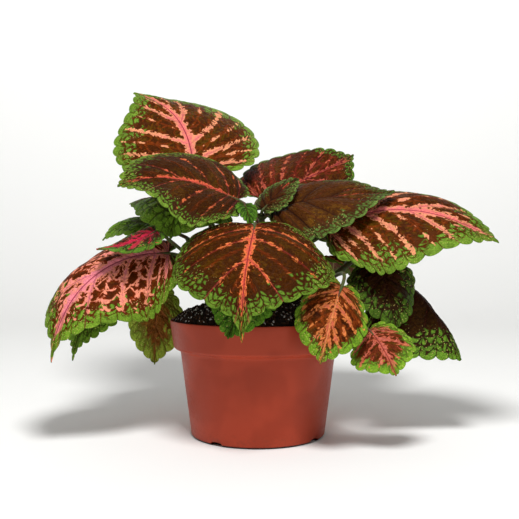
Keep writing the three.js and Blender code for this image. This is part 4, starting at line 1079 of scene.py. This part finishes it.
def pot_profile():
    """The pot's section, from the middle of its underside up the outside to the rim and down to its floor."""
    body_top = COLLAR_STEP - STEP_HEIGHT
    turns = [(1 - math.cos(a), math.sin(a)) for a in np.linspace(0, math.pi / 2, 9)]
    profile = [(0, 0), (20, 0), (40, 0)]
    profile += [(BASE_RADIUS - BASE_ROUNDING * (1 - up), BASE_ROUNDING * out) for out, up in turns]
    profile += list(np.linspace((BASE_RADIUS, BASE_ROUNDING), (BODY_TOP_RADIUS, body_top), 16)[1:])
    reach = COLLAR_BOTTOM_RADIUS - COLLAR_ROUNDING - BODY_TOP_RADIUS
    profile += [(BODY_TOP_RADIUS + reach * out, body_top + STEP_HEIGHT * up) for out, up in turns[1:]]
    taper = (RIM_RADIUS - COLLAR_BOTTOM_RADIUS) / (COLLAR_HEIGHT - RIM_ROUNDING)
    for out, up in turns[1:]:
        rise = COLLAR_ROUNDING * out
        profile.append((COLLAR_BOTTOM_RADIUS - COLLAR_ROUNDING * (1 - up) + taper * rise, COLLAR_STEP + rise))
    for rise in np.linspace(COLLAR_ROUNDING, COLLAR_HEIGHT - RIM_ROUNDING, 7)[1:-1]:
        profile.append((COLLAR_BOTTOM_RADIUS + taper * rise, COLLAR_STEP + rise))
    outer = RIM_RADIUS - RIM_EASE
    profile += [(outer - RIM_ROUNDING * out, POT_HEIGHT - RIM_ROUNDING * (1 - up)) for out, up in turns]
    return profile + POT_INSIDE[::-1] + [(30, POT_FLOOR), (0, POT_FLOOR)]


def slot_cutter(turn):
    """An arched block that cuts one drain slot."""
    half = DRAIN_SLOT_WIDTH / 2
    outline = [(-half, -1), (half, -1)]
    for a in np.linspace(0, math.pi, 17):
        outline.append((half * math.cos(a), DRAIN_SLOT_HEIGHT * (0.45 + 0.55 * math.sin(a))))
    c, s = math.cos(math.radians(turn)), math.sin(math.radians(turn))
    rings = []
    for radius in DRAIN_CUT:
        rings += [(across * c + radius * s, across * s - radius * c, z) for across, z in outline]
    n = len(outline)
    faces = [list(range(n - 1, -1, -1)), list(range(n, 2 * n)), *ring_faces(2, n)]
    return new_object("slot_cutter", plain_mesh("slot_cutter", np.array(rings, float), faces))


def make_pot():
    profile = pot_profile()
    rings = np.vstack([circle(radius, height, POT_SIDES) for radius, height in profile])
    mesh = plain_mesh("pot_fine", rings, turned_faces(len(profile), POT_SIDES), sharp=POT_SHARP_ANGLE)
    pot = new_object("pot_fine", mesh, pot_plastic())
    for k in range(DRAIN_SLOTS):
        cutter = slot_cutter(DRAIN_SLOT_TURN + 360 / DRAIN_SLOTS * k)
        cut = pot.modifiers.new("drain_slot", "BOOLEAN")
        cut.operation = "DIFFERENCE"
        cut.solver = "EXACT"
        cut.object = cutter
        pot.data = applied(pot, cut)
        bpy.data.objects.remove(cutter)
    place_piece(pot, "pot")


def soil_height(x, y, edge):
    """Height of the soil's top: a mound with clods in it."""
    share = np.clip(1 - np.hypot(x, y) / edge, 0, 1)
    rise = np.sin(np.pi / 2 * share) ** SOIL_MOUND_FULLNESS
    clods = np.sin(x * 0.41 + 1.3) * np.cos(y * 0.37) + 0.6 * np.sin(x * 0.83 - y * 0.71)
    small = np.sin(x * 1.7 + 2 * np.sin(y * 1.1)) * np.sin(y * 1.9 + 2 * np.sin(x * 1.3))
    mound = SOIL_EDGE_HEIGHT + (SOIL_MOUND_HEIGHT - SOIL_EDGE_HEIGHT) * rise
    return mound + np.clip(share * 8, 0, 1) * (0.8 * clods + 0.5 * small)


def make_soil():
    floor, body_top, collar_bottom, rim = POT_INSIDE
    climb = (SOIL_EDGE_HEIGHT - collar_bottom[1]) / (rim[1] - collar_bottom[1])
    edge = collar_bottom[0] + (rim[0] - collar_bottom[0]) * climb - SEAT_GAP
    lower = [(0, floor[1] + SEAT_GAP), (floor[0] - SEAT_GAP, floor[1] + SEAT_GAP)]
    lower += [(radius - SEAT_GAP, height + SEAT_GAP / 2) for radius, height in (body_top, collar_bottom)]
    rings = [circle(radius, height, SOIL_SIDES) for radius, height in lower]
    for share in np.linspace(0, 1, SOIL_RINGS + 1):
        ring = circle(edge * (1 - share), 0.0, SOIL_SIDES)
        ring[:, 2] = soil_height(ring[:, 0], ring[:, 1], edge)
        rings.append(ring)
    faces = turned_faces(len(rings), SOIL_SIDES)
    points = np.vstack(rings)
    soil = new_object("soil_fine", plain_mesh("soil_fine", points, faces), soil_peat())
    high = [face for face in faces if min(face) >= (len(lower) + 1) * SOIL_SIDES]
    top = new_object("soil_top", plain_mesh("soil_top", points, high))
    crumbs = grown_mesh(top, scatter_tree("soil_crumbs", bark_crumb(), seed=4), CRUMBS)
    perlite = grown_mesh(top, scatter_tree("soil_perlite", perlite_bead(), seed=11), PERLITE)
    bpy.data.objects.remove(top)
    place_piece(soil, "soil")
    for name, mesh in (("soil_crumbs", crumbs), ("soil_perlite", perlite)):
        bits = new_object(name, mesh)
        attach(bits, "root")


def make_shoots():
    rind = shoot_skin()
    hairs = scatter_tree("shoot_hairs", hair_down(), seed=23, vertex_count=3)
    for name, (radius, _) in SHOOTS.items():
        radii = radius[0] + (radius[1] - radius[0]) * np.linspace(0, 1, SHOOT_STEPS + 1)
        vertices, faces = tube(shoot_points(name, SHOOT_STEPS + 1), radii, SHOOT_SIDES, SHOOT_SQUARENESS)
        stem = new_object(name + "_fine", plain_mesh(name + "_fine", vertices, faces), rind)
        fuzz = new_object(name + "_hairs", grown_mesh(stem, hairs, HAIRS))
        place_piece(stem, name)
        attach(fuzz, "root")


def make_leaves():
    stalk = stalk_skin()
    skins = {name: (upper_skin("leaf_top_" + name, look), under_skin("leaf_under_" + name, look))
             for name, look in LOOKS.items()}
    puffing = {name: puff_tree(skins[name][0]) for name in LOOKS}
    for order, values in enumerate(LEAVES):
        leaf = Leaf(order, values)
        piece = new_object(leaf.name + "_fine", leaf.mesh(), *skins[leaf.look], stalk)
        height = NET_PUFF * MM * min(1, leaf.width / FULL_PUFF_WIDTH)
        sizes = {"Puff height": height, "Flat border": FLAT_BORDER}
        piece.data = grown_mesh(piece, puffing[leaf.look], sizes)
        place_piece(piece, leaf.name)


def place_piece(piece, node):
    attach(piece, "root")
    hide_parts(node)


def add_camera():
    data = bpy.data.cameras.new("camera")
    data.sensor_width = SENSOR_WIDTH
    data.lens = SENSOR_WIDTH * CAMERA_FOCAL / FRAME_WIDTH
    camera = linked(bpy.data.objects.new("camera", data))
    camera.location = CAMERA_PLACE
    camera.rotation_euler = (math.radians(90), 0, 0)
    bpy.context.scene.camera = camera


def add_backdrop():
    """A white floor that curves up to a wall behind the plant."""
    line = [(FLOOR_FRONT, 0.0), (FLOOR_BEND, 0.0)]
    for a in np.linspace(0, math.pi / 2, 17)[1:]:
        line.append((FLOOR_BEND + BEND_RADIUS * math.sin(a), BEND_RADIUS * (1 - math.cos(a))))
    line.append((FLOOR_BEND + BEND_RADIUS, WALL_HEIGHT))
    vertices = [(x, y, z) for y, z in line for x in (-FLOOR_HALF_WIDTH, FLOOR_HALF_WIDTH)]
    faces = [(2 * k, 2 * k + 1, 2 * k + 3, 2 * k + 2) for k in range(len(line) - 1)]
    mesh = bpy.data.meshes.new("backdrop")
    mesh.from_pydata(vertices, [], faces)
    mesh.polygons.foreach_set("use_smooth", [True] * len(faces))
    paper = Skin("backdrop_paper", Roughness=0.9, Specular_IOR_Level=0.1)
    new_object("backdrop", mesh, paper.painted(linear(PAPER)))


def add_lights():
    """A round lamp whose light doesn't fade with distance, so that its brightness is that of a white sheet
    that faces it, and a glowing world that the camera sees as a brighter one."""
    data = bpy.data.lights.new("key_light", "POINT")
    data.shadow_soft_size = LAMP_RADIUS
    data.energy = LAMP_BRIGHTNESS * 4 * math.pi ** 2
    data.use_nodes = True
    even = field(data.node_tree, "ShaderNodeLightFalloff", {"Strength": 1.0}, "Constant")
    feed(data.node_tree, data.node_tree.nodes["Emission"].inputs["Strength"], even)
    linked(bpy.data.objects.new("key_light", data)).location = LAMP_PLACE
    world = bpy.data.worlds.new("studio")
    world.use_nodes = True
    seen = field(world.node_tree, "ShaderNodeLightPath", output="Is Camera Ray")
    glow = world.node_tree.nodes["Background"].inputs
    glow["Color"].default_value = (1, 1, 1, 1)
    feed(world.node_tree, glow["Strength"], seen * (SKY_BRIGHTNESS - WORLD_BRIGHTNESS) + WORLD_BRIGHTNESS)
    bpy.context.scene.world = world
    bpy.context.scene.view_settings.view_transform = "Standard"


add_camera()
add_backdrop()
add_lights()
make_pot()
make_soil()
make_shoots()
make_leaves()
